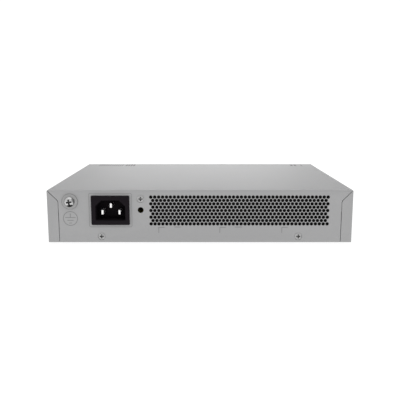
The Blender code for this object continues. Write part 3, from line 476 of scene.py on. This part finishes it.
finishes = {
    "casePaint": grainMaterial("casePaint", grey(0.366, 0.01), grey(0.35, 0.01), 0.55, grain=2600.0,
                               cloud=14.0, bump=0.10, rub=grey(0.42), Specular_IOR_Level=0.3),
    "markAndRimShadeGrey": grainMaterial("markAndRimShadeGrey", grey(0.185), grey(0.17), 0.5, grain=3000.0, bump=0.05),
    "holeShade": grainMaterial("holeShade", grey(0.02), grey(0.012), 0.8, grain=3000.0, bump=0.05,
                               Specular_IOR_Level=0.1),
    "recessShade": metalMaterial("recessShade", grey(0.07), grey(0.04), 0.35),
    "screwRecessShade": metalMaterial("screwRecessShade", grey(0.2), grey(0.14), 0.4),
    "inkGrey": grainMaterial("inkGrey", grey(0.13), grey(0.1), 0.5, grain=3000.0, bump=0.05),
    "inkDark": grainMaterial("inkDark", grey(0.05), grey(0.04), 0.5, grain=3000.0, bump=0.05),
    "shadeSheetBlack": grainMaterial("shadeSheetBlack", grey(0.006), grey(0.003), 0.9, grain=4000.0, bump=0.3,
                                 Specular_IOR_Level=0.1),
    "screwInside": metalMaterial("screwInside", grey(0.6), grey(0.5), 0.3),
    "seatGrey": grainMaterial("seatGrey", grey(0.385), grey(0.36), 0.42, grain=1800.0, bump=0.1),
    "inletBlack": grainMaterial("inletBlack", (0.0135, 0.0108, 0.0135, 1), (0.0105, 0.0085, 0.0105, 1), 0.6,
                                grain=3500.0, bump=0.2, Specular_IOR_Level=0.04),
    "portBlack": grainMaterial("portBlack", grey(0.02), grey(0.014), 0.4, grain=3500.0, bump=0.15),
    "rubber": grainMaterial("rubber", grey(0.028), grey(0.018), 0.8, grain=1600.0, bump=0.35, depth=0.0001),
    "chipEpoxy": grainMaterial("chipEpoxy", grey(0.03), grey(0.022), 0.55, grain=5000.0, bump=0.2),
    "boardMask": grainMaterial("boardMask", (0.012, 0.10, 0.045, 1), (0.02, 0.14, 0.06, 1), 0.32, grain=700.0,
                               cloud=300.0, bump=0.2),
    "zincSheet": metalMaterial("zincSheet", grey(0.62, 0.03), grey(0.45, 0.03), 0.34, crystal=90.0),
    "tinShield": metalMaterial("tinShield", grey(0.56, 0.02), grey(0.4, 0.02), 0.32, crystal=400.0),
    "brightScrew": chromeMaterial("brightScrew"),
    "satinScrew": metalMaterial("satinScrew", grey(0.40), grey(0.34), 0.45, stretch=(900.0, 900.0, 900.0),
                                metallic=0.3),
    "pinPlate": metalMaterial("pinPlate", (0.97, 0.96, 0.95, 1), (0.9, 0.89, 0.88, 1), 0.3, metallic=0.9),
    "goldContact": metalMaterial("goldContact", (0.83, 0.58, 0.22, 1), (0.65, 0.42, 0.14, 1), 0.25),
    "sinkBlack": metalMaterial("sinkBlack", grey(0.05), grey(0.03), 0.42, metallic=0.6),
    "clearPipe": grainMaterial("clearPipe", (0.8, 0.86, 0.82, 1), (0.72, 0.8, 0.75, 1), 0.2, bump=0.02,
                               Transmission_Weight=0.5, IOR=1.49),
    "buttonGrey": grainMaterial("buttonGrey", grey(0.13), grey(0.11), 0.45, grain=3000.0),
    "windingTape": grainMaterial("windingTape", (0.55, 0.40, 0.04, 1), (0.45, 0.32, 0.03, 1), 0.4,
                                 grain=400.0),
    "ferrite": grainMaterial("ferrite", grey(0.05), grey(0.035), 0.6, grain=1800.0, bump=0.3),
    "sleeveBlue": grainMaterial("sleeveBlue", (0.02, 0.035, 0.09, 1), (0.015, 0.028, 0.07, 1), 0.3,
                                grain=900.0),
    "wireBrown": grainMaterial("wireBrown", (0.15, 0.05, 0.02, 1), (0.11, 0.04, 0.015, 1), 0.4),
    "wireBlue": grainMaterial("wireBlue", (0.02, 0.09, 0.33, 1), (0.015, 0.07, 0.26, 1), 0.4),
    "wireGreen": grainMaterial("wireGreen", (0.1, 0.33, 0.04, 1), (0.3, 0.4, 0.04, 1), 0.4, grain=300.0),
    "wireBlack": grainMaterial("wireBlack", grey(0.02), grey(0.014), 0.45),
    "nylon": grainMaterial("nylon", (0.74, 0.73, 0.68, 1), (0.68, 0.66, 0.6, 1), 0.4, grain=900.0),
}
print("materials made:", len(finishes))


# ---- the folded cover
def seamLine(offset, endX, endZ):
    x = half - casing["strip"] + offset
    reach = casing["knee"] * math.tan(math.radians(22.5))
    kneeZ = top - casing["strip"] - offset * (math.sqrt(2) - 1)
    curve = arc(x + casing["knee"], kneeZ - reach, casing["knee"], 180, 135, 8)
    run = min(endX - x, endZ - kneeZ)
    return [(x, bottom), *curve, (x + run, kneeZ + run)]


def coverSection(y, inset):
    bend = casing["bend"]
    outer = arc(half - bend, top - bend, bend - inset, 0, 90, 8)
    inner = arc(half - bend, top - bend, bend - sheet, 90, 0, 8)
    right = [(half - inset, bottom), *outer]
    inside = [*inner, (half - sheet, bottom)]
    points = right + mirrored(right) + mirrored(inside) + inside
    return [(u, y, v) for u, v in points]


coverLooks = {
    "slot": (3.0 * mm, 16.0 * mm),
    "slotPitch": 7.0 * mm,
    "slotsFromFront": 56.0 * mm,
    "slotsFromRear": 24.0 * mm,
    "earHole": 4.0 * mm,
    "earFromFront": 12.0 * mm,
    "earSpacing": (22.0 * mm, 16.0 * mm),
    "roundSteps": 5,
}


def makeCover():
    looks = coverLooks
    stations = []
    for edge, way, radius in ((front, 1, casing["frontRound"]), (rear, -1, casing["rearRound"])):
        for i in range(looks["roundSteps"] + 1):
            a = math.radians(90 * i / looks["roundSteps"])
            inset = radius * (1 - math.sin(a))
            stations.append((edge + way * radius * (1 - math.cos(a)), inset))
    cover = piece("coverShell", loft([coverSection(y, inset) for y, inset in sorted(stations)]))

    edge = half - casing["rearRound"]
    strip = [*seamLine(casing["seam"] / 2, edge, top), (edge, bottom)]
    strips = [plate(upright(rear - sheet), sheet, side) for side in (strip, mirrored(strip))]
    carve(cover, "UNION", strips)

    cuts = []
    zMiddle = (bottom + casing["lip"] + ceiling) / 2
    first, last = front + looks["slotsFromFront"], rear - looks["slotsFromRear"]
    width, length = looks["slot"]
    count = int((last - first) / looks["slotPitch"]) + 1
    screwY = middle("side_screw_left").y
    screwZ = middle("side_screw_left").z
    for side in (-1, 1):
        place = sideways(side * (half - sheet / 2) - 1.5 * sheet)
        for i in range(count):
            y = first + i * looks["slotPitch"]
            slot = roundedBox(y - width / 2, y + width / 2, zMiddle - length / 2, zMiddle + length / 2,
                              width / 2 - 0.01 * mm, 6)
            cuts.append(plate(place, 3 * sheet, slot))
        for i in (0, 1):
            for s in (-1, 1):
                y = front + looks["earFromFront"] + i * looks["earSpacing"][0]
                z = zMiddle + s * looks["earSpacing"][1] / 2
                cuts.append(plate(place, 3 * sheet, ring(y, z, looks["earHole"])))
        mouth = casing["screwMouth"] / 2
        cone = lathe([(mouth + sheet, sheet), (mouth - 2 * sheet, -2 * sheet)])
        bmesh.ops.transform(cone, verts=cone.verts,
                            matrix=Matrix.Translation((side * half, screwY, screwZ)) @ toSide(side))
        cuts.append(cone)
    carve(cover, "DIFFERENCE", cuts)
    return settle(cover, finishes["casePaint"], "casing", "grey_paint", "top_cover")


makeCover()
print("cover made")

# ---- the rear panel
rearLooks = {
    "hole": 2.85 * mm,
    "holeSides": 16,
    "pitch": 3.21 * mm,
    "rowPitch": 2.79 * mm,
    "fromInletEdge": 84.8 * mm,
    "fromFarEdge": 20.55 * mm,
    "fromTop": 5.3 * mm,
    "height": 15.5 * mm,
    "topGap": 0.04 * mm,
    "latchHole": 4.9 * mm,
    "nutHole": 8.6 * mm,
}
washerMiddle = middle("ground_washer")
bracketScrew = middle("bracket_screw")
latchPlace = (bracketScrew.x, bottom + 27.0 * mm)


def ventPlaces():
    looks = rearLooks
    left, right = looks["fromFarEdge"] - half, half - looks["fromInletEdge"]
    low, high = bottom + looks["height"], top - looks["fromTop"]
    columns = round((right - left) / looks["pitch"]) + 1
    rows = round((high - low) / looks["rowPitch"]) + 1
    start = (left + right) / 2 - (columns - 1) * looks["pitch"] / 2
    places = []
    for row in range(rows):
        shift = row % 2
        for column in range(columns - shift):
            places.append((start + (column + shift / 2) * looks["pitch"], low + row * looks["rowPitch"]))
    return places


def rearScrewPlaces():
    spots = [middle(name) for name in ("rear_screw_near", "rear_screw_far", "bracket_screw")]
    return [(s.x, s.z) for s in spots]


def makeRearPanel():
    looks = rearLooks
    edge = seamLine(-casing["seam"] / 2, half, ceiling - looks["topGap"])
    low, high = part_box("inlet_housing")
    cx, cz = (low.x + high.x) / 2, (low.z + high.z) / 2
    holes = [ring(x, z, looks["hole"], looks["holeSides"]) for x, z in ventPlaces()]
    holes.append(roundedBox(cx - 14.1 * mm, cx + 14.1 * mm, cz - 10.4 * mm, cz + 10.4 * mm, 0.6 * mm))
    holes.append(ring(*latchPlace, looks["latchHole"]))
    holes.append(ring(washerMiddle.x, washerMiddle.z, looks["nutHole"]))
    holes += [ring(x, z, casing["screwMouth"]) for x, z in rearScrewPlaces()]
    panel = piece("rearPanelSheet", plate(upright(rear - sheet), sheet, edge + mirrored(edge), holes))
    settle(panel, finishes["casePaint"], "casing", "grey_paint", "rear_panel")
    places = ventPlaces()
    farX, nearX = min(x for x, z in places) - looks["hole"], max(x for x, z in places) + looks["hole"]
    lowZ, highZ = min(z for x, z in places) - looks["hole"], max(z for x, z in places) + looks["hole"]

    def inHole(face):
        c = face.center
        return abs(face.normal.y) < 0.5 and farX < c.x < nearX and lowZ < c.z < highZ

    secondFinish(panel, finishes["holeShade"], inHole)


makeRearPanel()
print("rear panel made")

# ---- thin raised lines on the rear panel, in nearly its own colour
markLooks = {
    "proud": 0.05 * mm,
    "sunk": 0.03 * mm,
    "line": 0.42 * mm,
    "symbolZ": 20.0 * mm,
    "symbol": 12.0 * mm,
    "bars": ((8.6, 0.8), (5.2, -1.6), (2.4, -3.8)),  # lengths and heights of the earth symbol's bars
    "frameGap": 2.0 * mm,
    "cornersX": (34.1, -16.1, -67.1),
    "cornerZ": (7.9, 12.8),
    "cornerTick": 5.0,
    "dashes": ((21.0, 15.7), (-28.6, -34.5)),
}


def makeRearMarks():
    looks = markLooks
    place = upright(rear - looks["sunk"])
    thick = looks["proud"] + looks["sunk"]
    line = looks["line"]
    x, z, d = washerMiddle.x, bottom + looks["symbolZ"], looks["symbol"]
    shapes = [plate(place, thick, ring(x, z, d, 64), [ring(x, z, d - 2 * line, 64)])]
    shapes.append(plate(place, thick, rectangle(x - line / 2, x + line / 2, z + 1.0 * mm, z + 4.2 * mm)))
    for length, up in looks["bars"]:
        w, v = length * mm / 2, z + up * mm
        shapes.append(plate(place, thick, rectangle(x - w, x + w, v - line / 2, v + line / 2)))
    low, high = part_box("inlet_housing")
    gap, fine = looks["frameGap"], line * 0.7
    left, right, under, over = low.x - gap, high.x + gap, low.z - gap, high.z + gap
    outer = roundedBox(left, right, under, over, 1.4 * mm)
    inner = roundedBox(left + fine, right - fine, under + fine, over - fine, 1.2 * mm)
    shapes.append(plate(place, thick * 0.7, outer, [inner]))
    lowZ, highZ = (bottom + v * mm for v in looks["cornerZ"])
    for corner in looks["cornersX"]:
        u = corner * mm
        tick = u - looks["cornerTick"] * mm
        hook = [(u, lowZ), (u, highZ), (tick, highZ), (tick, highZ - line),
                (u - line, highZ - line), (u - line, lowZ)]
        shapes.append(plate(place, thick, hook))
    for right, left in looks["dashes"]:
        dash = rectangle(left * mm, right * mm, highZ - line / 2, highZ + line / 2)
        shapes.append(plate(place, thick, dash))
    settle(piece("rearMarks", gather(shapes)), finishes["markAndRimShadeGrey"], "casing", "grey_paint")


# a black sheet right behind the grille: painted shade, so that the vent holes show dark
def makeDustScreen():
    places = ventPlaces()
    xs, zs = [x for x, z in places], [z for x, z in places]
    pad = 2.5 * mm
    outline = roundedBox(min(xs) - pad, max(xs) + pad, min(zs) - pad, max(zs) + pad, 1.0 * mm)
    screen = piece("shadeSheet", plate(upright(rear - sheet - 0.5 * mm), 0.3 * mm, outline))
    settle(screen, finishes["shadeSheetBlack"], "casing", "black_plastic")


makeRearMarks()
makeDustScreen()
print("rear marks and dust screen made")

# ---- screws
screwLooks = {
    "head": 5.6 * mm,
    "shank": 3.0 * mm,
    "length": 4.5 * mm,
    "cross": 3.3 * mm,
    "crossDepth": 1.7 * mm,
}


def makeScrew(node, at, turn):
    looks = screwLooks
    head, shank = looks["head"] / 2, looks["shank"] / 2
    profile = [(head - 0.12 * mm, -0.02 * mm), (head, -0.12 * mm), (head, -0.25 * mm),
               (shank, shank - head - 0.25 * mm), (shank, -looks["length"])]
    screw = piece(node + "Shape", lathe(profile, 40))
    carve(screw, "DIFFERENCE", [cross(looks["cross"], looks["crossDepth"])])
    screw.matrix_world = Matrix.Translation(at) @ turn
    settle(screw, finishes["satinScrew"], "casing", "bright_screw", node)
    reach, deepest = looks["cross"] / 2, -looks["crossDepth"] - 0.01 * mm

    def inRecess(face):
        return face.center.xy.length < reach and deepest < face.center.z < -0.03 * mm

    # the cross recess gets a darker finish: painted shade inside the recess
    secondFinish(screw, finishes["screwRecessShade"], inRecess)


for name in ("rear_screw_near", "rear_screw_far", "bracket_screw"):
    spot = middle(name)
    makeScrew(name, (spot.x, rear, spot.z), toRear)
for name in ("front_screw_left", "front_screw_right"):
    spot = middle(name)
    makeScrew(name, (spot.x, front, spot.z), toFront)
for name, side in (("side_screw_left", -1), ("side_screw_right", 1)):
    spot = middle(name)
    makeScrew(name, (side * half, spot.y, spot.z), toSide(side))
print("small screws made")

# ---- ground terminal: a painted seat washer and a bright domed screw
groundLooks = {
    # radius and height above the washer's underside, from its middle outwards
    "washer": ((2.3, 0.42), (5.0, 0.42), (5.25, 0.28), (5.5, 0.42), (6.2, 0.42), (6.5, 0.2), (6.5, 0.0),
               (2.3, 0.0)),
    "dome": ((1.1, 2.8), (2.1, 2.66), (3.0, 2.28), (3.65, 1.72), (4.08, 1.05), (4.28, 0.5), (4.28, 0.12),
             (4.15, 0.0), (2.0, 0.0), (2.0, -8.6), (1.6, -9.0)),
    "shadedRimFrom": 6.22 * mm,  # the washer's painted shade along its outer edge starts here
    "cross": 4.9 * mm,
    "crossDepth": 1.9 * mm,
}


def latheRing(profile):
    sides = 64
    bm = bmesh.new()
    rings = [[bm.verts.new((*p, z)) for p in ring(0, 0, 2 * r, sides)] for r, z in profile]
    for k in range(len(rings)):
        above, below = rings[k - 1], rings[k]
        for i in range(sides):
            bm.faces.new((above[i - 1], above[i], below[i], below[i - 1]))
    return bm


def makeGroundTerminal():
    looks = groundLooks
    low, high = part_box("ground_washer")
    profile = [(r * mm, h * mm) for r, h in looks["washer"]]
    washer = piece("groundSeat", latheRing(profile), (washerMiddle.x, low.y, washerMiddle.z), toRear)
    settle(washer, finishes["seatGrey"], "ground_washer", "zinc_steel", "ground_washer")
    # painted shade: the washer's outer edge gets a darker finish
    secondFinish(washer, finishes["markAndRimShadeGrey"], lambda face: face.center.xy.length > looks["shadedRimFrom"])
    low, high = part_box("ground_screw")
    rise = looks["dome"][0][1] * mm
    screw = piece("groundScrewShape", lathe([(r * mm, h * mm) for r, h in looks["dome"]], 64))
    carve(screw, "DIFFERENCE", [cross(looks["cross"], looks["crossDepth"], rise)])
    spin = Matrix.Rotation(math.radians(8), 4, "Z")
    screw.matrix_world = Matrix.Translation((washerMiddle.x, high.y - rise, washerMiddle.z)) @ toRear @ spin
    settle(screw, finishes["brightScrew"], "ground_screw", "bright_screw", "ground_screw")
    edges = [(r * mm, h * mm) for r, h in looks["dome"][:8]]

    def inRecess(face):
        out, high = face.center.xy.length, face.center.z
        skin = max([h for r, h in edges if r >= out], default=0)
        return out < looks["cross"] / 2 and 0.3 * mm < high < skin - 0.12 * mm

    secondFinish(screw, finishes["recessShade"], inRecess)


makeGroundTerminal()
print("ground terminal made")

# ---- mains inlet
inletLooks = {
    "corner": 0.7 * mm,
    "edge": 0.35 * mm,
    "body": (27.6 * mm, 20.2 * mm),
    "cavity": (24.4 * mm, 16.6 * mm),
    "cut": 5.0 * mm,
    "cavityDepth": 16.0 * mm,
    "mouth": 0.35 * mm,
    "pin": (2.0 * mm, 4.0 * mm),
    "pinRound": 0.5 * mm,
}


def cavityOutline(x, z, grow):
    w, h = (v / 2 + grow for v in inletLooks["cavity"])
    c = inletLooks["cut"] + 0.4 * grow
    r = 0.8 * mm
    base = [*arc(x + w - r, z - h + r, r, -90, 0, 4), (x + w, z + h - c), (x + w - c, z + h)]
    return base + mirrored(base, x)


def raised(points, y):
    return [(u, y, v) for u, v in points]


def makeInlet():
    looks = inletLooks
    low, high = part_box("inlet_housing")
    x, z, face = (low.x + high.x) / 2, (low.z + high.z) / 2, high.y
    w, h = (high.x - low.x) / 2, (high.z - low.z) / 2
    edge = looks["edge"]
    loops = []
    for y, inset in ((rear + 0.02 * mm, 0), (face - edge, 0), (face - 0.3 * edge, 0.3 * edge), (face, edge)):
        corner = looks["corner"] - 0.5 * inset
        u, v = w - inset, h - inset
        loops.append(raised(roundedBox(x - u, x + u, z - v, z + v, corner), y))
    housing = piece("inletBody", loft(loops))
    bw, bh = (v / 2 for v in looks["body"])
    carve(housing, "UNION", [box((x - bw, low.y, z - bh), (x + bw, face - 0.8 * mm, z + bh))])
    mouth, floor = looks["mouth"], face - looks["cavityDepth"]
    steps = ((face + 0.2 * mm, mouth + 0.2 * mm), (face, mouth), (face - mouth, 0), (floor, 0))
    carve(housing, "DIFFERENCE", [loft([raised(cavityOutline(x, z, grow), y) for y, grow in steps])])
    slots = []
    pw, ph = (v / 2 for v in looks["pin"])
    for name in ("line", "neutral", "earth"):
        spot = middle("inlet_pin_" + name)
        gap = 0.25 * mm
        near = (spot.x - pw - gap, low.y - mm, spot.z - ph - gap)
        slots.append(box(near, (spot.x + pw + gap, floor + mm, spot.z + ph + gap)))
        back, tip = (c.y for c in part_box("inlet_pin_" + name))
        blade = []
        for y, inset in ((back, 0.1), (back + 0.4 * mm, 0), (tip - 0.5 * mm, 0), (tip - 0.15 * mm, 0.08),
                         (tip, 0.24)):
            u, v = pw - inset * mm, ph - inset * mm
            r = max(looks["pinRound"] - inset * mm, 0.12 * mm)
            blade.append(raised(roundedBox(spot.x - u, spot.x + u, spot.z - v, spot.z + v, r, 5), y))
        pin = piece("inletPin" + name.title(), loft(blade))
        settle(pin, finishes["pinPlate"], "casing", "tinned_brass", "inlet_pin_" + name)
    carve(housing, "DIFFERENCE", slots)
    settle(housing, finishes["inletBlack"], "casing", "black_plastic", "inlet_housing")


makeInlet()
print("mains inlet made")

# ---- front panel, ports and lights
portLooks = {
    "pitch": 13.6 * mm,
    "shield": 0.5 * mm,
    "mouth": (11.6 * mm, 6.8 * mm),
    "latch": (6.2 * mm, 2.6 * mm),
    "cavityDepth": 13.0 * mm,
    "contactPitch": 1.02 * mm,
    "contacts": 8,
    "cageWall": 0.6 * mm,
}
jackBlocks = {"console_jack": 1, "port_block_1": 4, "port_block_2": 4}


def jackOutline(x, lowZ, highZ, grow=0.0):
    w, latch = portLooks["mouth"][0] / 2 + grow, portLooks["latch"][0] / 2 + grow
    tall = portLooks["mouth"][1] + portLooks["latch"][1]
    low = (lowZ + highZ) / 2 - tall / 2 - grow
    step, high = low + portLooks["mouth"][1] + 2 * grow, low + tall + 2 * grow
    right = [(x + w, low), (x + w, step), (x + latch, step), (x + latch, high)]
    return right + mirrored(right, x)


def jackCentres(name):
    count, x = jackBlocks[name], middle(name + "_shield").x
    return [x + (i - (count - 1) / 2) * portLooks["pitch"] for i in range(count)]


def makeFrontPanel():
    low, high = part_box("front_panel")
    gap = 0.25 * mm
    holes = []
    for name in ("console_jack_shield", "port_block_1_shield", "port_block_2_shield", "sfp_cage"):
        a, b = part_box(name)
        holes.append(roundedBox(a.x - gap, b.x + gap, a.z - gap, b.z + gap, 0.4 * mm))
    for name in ("front_screw_left", "front_screw_right"):
        spot = middle(name)
        holes.append(ring(spot.x, spot.z, casing["screwMouth"]))
    button = middle("mode_button")
    holes.append(ring(button.x, button.z, 4.5 * mm, 40))
    r = 1.15 * mm
    holes += [roundedBox(x - r, x + r, z - r, z + r, 0.3 * mm) for x, z in lightPlaces()]
    outline = rectangle(low.x, high.x, low.z, high.z)
    panel = piece("frontPanelSheet", plate(upright(low.y), sheet, outline, holes))
    settle(panel, finishes["casePaint"], "casing", "grey_paint", "front_panel")


def lightPlaces():
    spot = middle("light_pipe")
    return [(spot.x + i * 4.2 * mm, spot.z) for i in (-1, 0, 1)]


def makeJacks():
    wall = portLooks["shield"]
    contacts = []
    for name in jackBlocks:
        low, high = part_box(name + "_shield")
        centres = jackCentres(name)
        shield = piece(name + "Shell", box(low, high))
        soften(shield, 0.3 * mm, 3)
        hollow = box((low.x + wall, low.y + wall, low.z - mm), (high.x - wall, high.y + mm, high.z - wall))
        outside = upright(low.y - mm)
        mouths = [plate(outside, 2 * mm, jackOutline(x, low.z, high.z, 0.1 * mm)) for x in centres]
        carve(shield, "DIFFERENCE", [hollow])
        carve(shield, "DIFFERENCE", mouths)
        settle(shield, finishes["tinShield"], "casing", "zinc_steel", name + "_shield")
        inLow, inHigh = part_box(name + "_insert")
        insert = piece(name + "Insert", box(inLow, inHigh))
        reach = portLooks["cavityDepth"]
        inside = upright(inLow.y - mm)
        hollows = [plate(inside, reach + mm, jackOutline(x, low.z, high.z)) for x in centres]
        carve(insert, "DIFFERENCE", hollows)
        settle(insert, finishes["portBlack"], "casing", "black_plastic", name + "_insert")
        base = (low.z + high.z) / 2 - (portLooks["mouth"][1] + portLooks["latch"][1]) / 2
        y = inLow.y
        bends = ((2.6, 0.1), (2.9, 0.1), (9.6, 2.9), (12.6, 3.0), (12.6, 3.3), (9.4, 3.2))
        spring = [(y + deep * mm, base + up * mm) for deep, up in bends]
        for x in centres:
            for i in range(portLooks["contacts"]):
                u = x + (i - 3.5) * portLooks["contactPitch"]
                contacts.append(plate(sideways(u - 0.2 * mm), 0.4 * mm, spring))
    settle(piece("jackContacts", gather(contacts)), finishes["goldContact"], "casing", "tinned_brass")


def makeCages():
    low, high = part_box("sfp_cage")
    wall = portLooks["cageWall"]
    cage = piece("moduleCage", box(low, high))
    soften(cage, 0.2 * mm, 2)
    xs = [middle("sfp_connector_1").x, middle("sfp_connector_2").x]
    w = (high.x - xs[1]) - wall
    hollows = [box((x - w, low.y - mm, low.z + wall), (x + w, high.y - wall, high.z - wall)) for x in xs]
    carve(cage, "DIFFERENCE", hollows)
    holes = []
    for x in xs:
        for row in range(5):
            for column in range(3):
                spot = ring(x + (column - 1) * 3.6 * mm, low.y + (12 + row * 6.5) * mm, 1.8 * mm, 16)
                holes.append(plate(level(high.z - 2 * wall), 3 * wall, spot))
    carve(cage, "DIFFERENCE", holes)
    fingers = []
    for x in xs:
        for i in range(4):
            u = x + (i - 1.5) * 3.1 * mm
            for z, way in ((high.z, 1), (low.z, -1)):
                bends = ((0.1, 0), (2.6, 0.2), (5.5, 0), (5.5, -0.2), (0.1, -0.2))
                profile = [(low.y + deep * mm, z + way * out * mm) for deep, out in bends]
                fingers.append(plate(sideways(u - 1.1 * mm), 2.2 * mm, profile))
    settle(piece("cageFingers", gather(fingers)), finishes["tinShield"], "casing", "zinc_steel")
    settle(cage, finishes["tinShield"], "casing", "zinc_steel", "sfp_cage")


def makeLightsAndButton():
    low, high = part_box("light_pipe")
    bar = roundedBox(low.x, high.x, low.z, high.z, 0.4 * mm)
    pipe = piece("lightGuide", plate(upright(front + 1.6 * mm), high.y - front - 1.6 * mm, bar))
    tips = []
    for x, z in lightPlaces():
        loops = []
        for y, inset in ((front + 2.2 * mm, 0), (low.y + 0.25 * mm, 0), (low.y + 0.08 * mm, 0.08),
                         (low.y, 0.3)):
            r = 0.9 * mm - inset * mm
            loops.append(raised(roundedBox(x - r, x + r, z - r, z + r, 0.3 * mm), y))
        tips.append(loft(loops))
    carve(pipe, "UNION", tips)
    settle(pipe, finishes["clearPipe"], "casing", "clear_acrylic", "light_pipe")
    low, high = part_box("mode_button")
    spot = middle("mode_button")
    face = front - low.y
    profile = [(1.2, 0.0), (1.65, -0.06), (1.9, -0.25), (2.0, -0.55), (2.0, -2.3), (3.0, -2.3), (3.0, -3.3),
               (1.2, -3.3)]
    points = [(r * mm, face + h * mm) for r, h in profile] + [(1.2 * mm, front - high.y)]
    button = piece("pushButton", lathe(points, 48), (spot.x, front, spot.z), toFront)
    settle(button, finishes["buttonGrey"], "mode_button", "button_grey", "mode_button")


def makeFeet():
    profile = ((4.0, 1.2), (5.85, 1.2), (6.0, 1.05), (6.0, 0.3), (5.7, 0.0), (4.6, 0.0), (4.2, 0.35),
               (0.5, 0.35))
    for i in range(1, 5):
        node = "rubber_foot_%d" % i
        low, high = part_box(node)
        points = [(r * mm, h * mm) for r, h in profile]
        foot = piece("footDisc%d" % i, lathe(points, 48), ((low.x + high.x) / 2, (low.y + high.y) / 2, low.z))
        settle(foot, finishes["rubber"], "casing", "rubber", node)


makeFrontPanel()
makeJacks()
makeCages()
makeLightsAndButton()
makeFeet()
print("front panel, ports, cages, lights, button and feet made")

# ---- printed marks: plain dashes on the cover, numerals over the ports
printLooks = {
    "thick": 0.02 * mm,
    # both ends along X, how many bars between them, how deep they are, how far from the rear, and the ink
    "bars": (
        (84.0, 111.0, 12, 14.0, 168.5, "inkGrey"),
        (71.0, 82.0, 4, 15.0, 168.5, "inkDark"),
        (-106.5, -98.7, 2, 12.0, 168.5, "inkDark"),
        (-112.0, -110.6, 1, 15.0, 168.5, "inkGrey"),
    ),
    "share": 0.66,
    "numeral": 3.2 * mm,
    "weight": 0.06 * mm,
}


def makePrints():
    looks = printLooks
    inks = {}
    for start, end, count, deep, away, ink in looks["bars"]:
        step, y = (end - start) * mm / count, rear - away * mm
        for i in range(count):
            u = (start * mm) + (i + 0.5) * step
            w, d = looks["share"] * step / 2, deep * mm / 2
            mark = roundedBox(u - w, u + w, y - d, y + d, 0.9 * w)
            bar = plate(level(top - looks["thick"] / 2), 0.7 * looks["thick"], mark)
            inks.setdefault(ink, []).append(bar)
    for ink, shapes in inks.items():
        settle(piece("coverPrint" + ink[3:], gather(shapes)), finishes[ink], "casing", "grey_paint")
    number = 0
    for name in ("port_block_1", "port_block_2"):
        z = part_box(name + "_shield")[1].z + 1.2 * mm
        for x in jackCentres(name):
            number += 1
            curve = bpy.data.curves.new("portNumber", "FONT")
            curve.body = str(number)
            curve.size = looks["numeral"]
            curve.align_x = "CENTER"
            curve.extrude = looks["thick"]
            curve.offset = looks["weight"]
            text = bpy.data.objects.new("text", curve)
            bpy.context.scene.collection.objects.link(text)
            bpy.context.view_layer.update()
            shown = text.evaluated_get(bpy.context.evaluated_depsgraph_get())
            mesh = bpy.data.meshes.new_from_object(shown)
            bpy.data.objects.remove(text)
            numeral = piece("portNumber%d" % number, mesh, (x, front, z), toFront)
            settle(numeral, finishes["inkDark"], "casing", "grey_paint")


makePrints()
print("printed marks made")

# ---- finishes of the CAD nodes that stay in view
slotFinishes = {
    "grey_paint": "casePaint",
    "zinc_steel": "zincSheet",
    "bright_screw": "screwInside",
    "black_plastic": "portBlack",
    "tinned_brass": "tinShield",
    "rubber": "rubber",
    "board_green": "boardMask",
    "heatsink_black": "sinkBlack",
    "chip_black": "chipEpoxy",
    "clear_acrylic": "clearPipe",
    "button_grey": "buttonGrey",
    "yellow_tape": "windingTape",
    "ferrite": "ferrite",
    "capacitor_sleeve": "sleeveBlue",
    "wire_brown": "wireBrown",
    "wire_blue": "wireBlue",
    "wire_green": "wireGreen",
    "wire_black": "wireBlack",
    "white_nylon": "nylon",
}
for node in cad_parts.values():
    mesh = node.data
    for i, old in enumerate(mesh.materials):
        mesh.materials[i] = finishes[slotFinishes[old.name.split(".")[0]]]
print("CAD nodes painted:", len(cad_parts))

# ---- floor, light and camera
stageLooks = {
    "floorSize": 40.0,
    "floorColour": 0.3,
    "floorGlow": 0.85,  # a lit table, so that no shadow shows
    "world": 0.86,
    "backdrop": 1.1,
    "lens": 51.344,
    "eyeBack": 457.3 * mm,
    "eyeUp": 118.7 * mm,
    "pitch": 10.323,
}


def makeStage():
    looks = stageLooks
    wide = looks["floorSize"] / 2
    floor = piece("studioFloor", plate(level(-0.002), 0.002, rectangle(-wide, wide, -wide, wide)))
    paint = looks["floorColour"]
    made = grainMaterial("studioFloor", grey(paint), grey(paint * 0.97), 0.9, grain=300.0, bump=0.0,
                         Specular_IOR_Level=0.0, Emission_Strength=looks["floorGlow"])
    made.node_tree.nodes["Principled BSDF"].inputs["Emission Color"].default_value = (1, 1, 1, 1)
    floor.data.materials.append(made)
    world = bpy.data.worlds.new("studio")
    world.use_nodes = True
    tree = world.node_tree
    path = tree.nodes.new("ShaderNodeLightPath").outputs["Is Camera Ray"]
    strength = addNode(tree, "ShaderNodeMapRange", Value=path, To_Min=looks["world"],
                       To_Max=looks["backdrop"])
    tree.nodes["Background"].inputs["Color"].default_value = (1, 1, 1, 1)
    tree.links.new(strength.outputs[0], tree.nodes["Background"].inputs["Strength"])
    bpy.context.scene.world = world
    bpy.context.scene.view_settings.view_transform = "Standard"


def makeLight(name, place, aim, width, height, power):
    light = bpy.data.lights.new(name, "AREA")
    light.shape = "RECTANGLE"
    light.size, light.size_y, light.energy = width, height, power
    obj = bpy.data.objects.new(name, light)
    obj.location = place
    obj.rotation_euler = (Vector(aim) - Vector(place)).to_track_quat("-Z", "Y").to_euler()
    obj.visible_camera = False
    bpy.context.scene.collection.objects.link(obj)


def makeCamera():
    camera = bpy.data.objects.new("camera", bpy.data.cameras.new("camera"))
    camera.data.sensor_width = 36.0
    camera.data.lens = stageLooks["lens"]
    camera.data.clip_start = 0.01
    camera.location = (0, rear + stageLooks["eyeBack"], bottom + stageLooks["eyeUp"])
    camera.rotation_euler = (math.radians(90 - stageLooks["pitch"]), 0, math.radians(180))
    bpy.context.scene.collection.objects.link(camera)
    bpy.context.scene.camera = camera


makeStage()
makeLight("overhead", (0, 0.3, 1.5), (0, 0, 0), 1.6, 1.2, 2.0)
makeLight("farSheen", (0, -1.4, 0.45), (0, 0, 0.05), 0.7, 0.5, 2.5)
makeCamera()
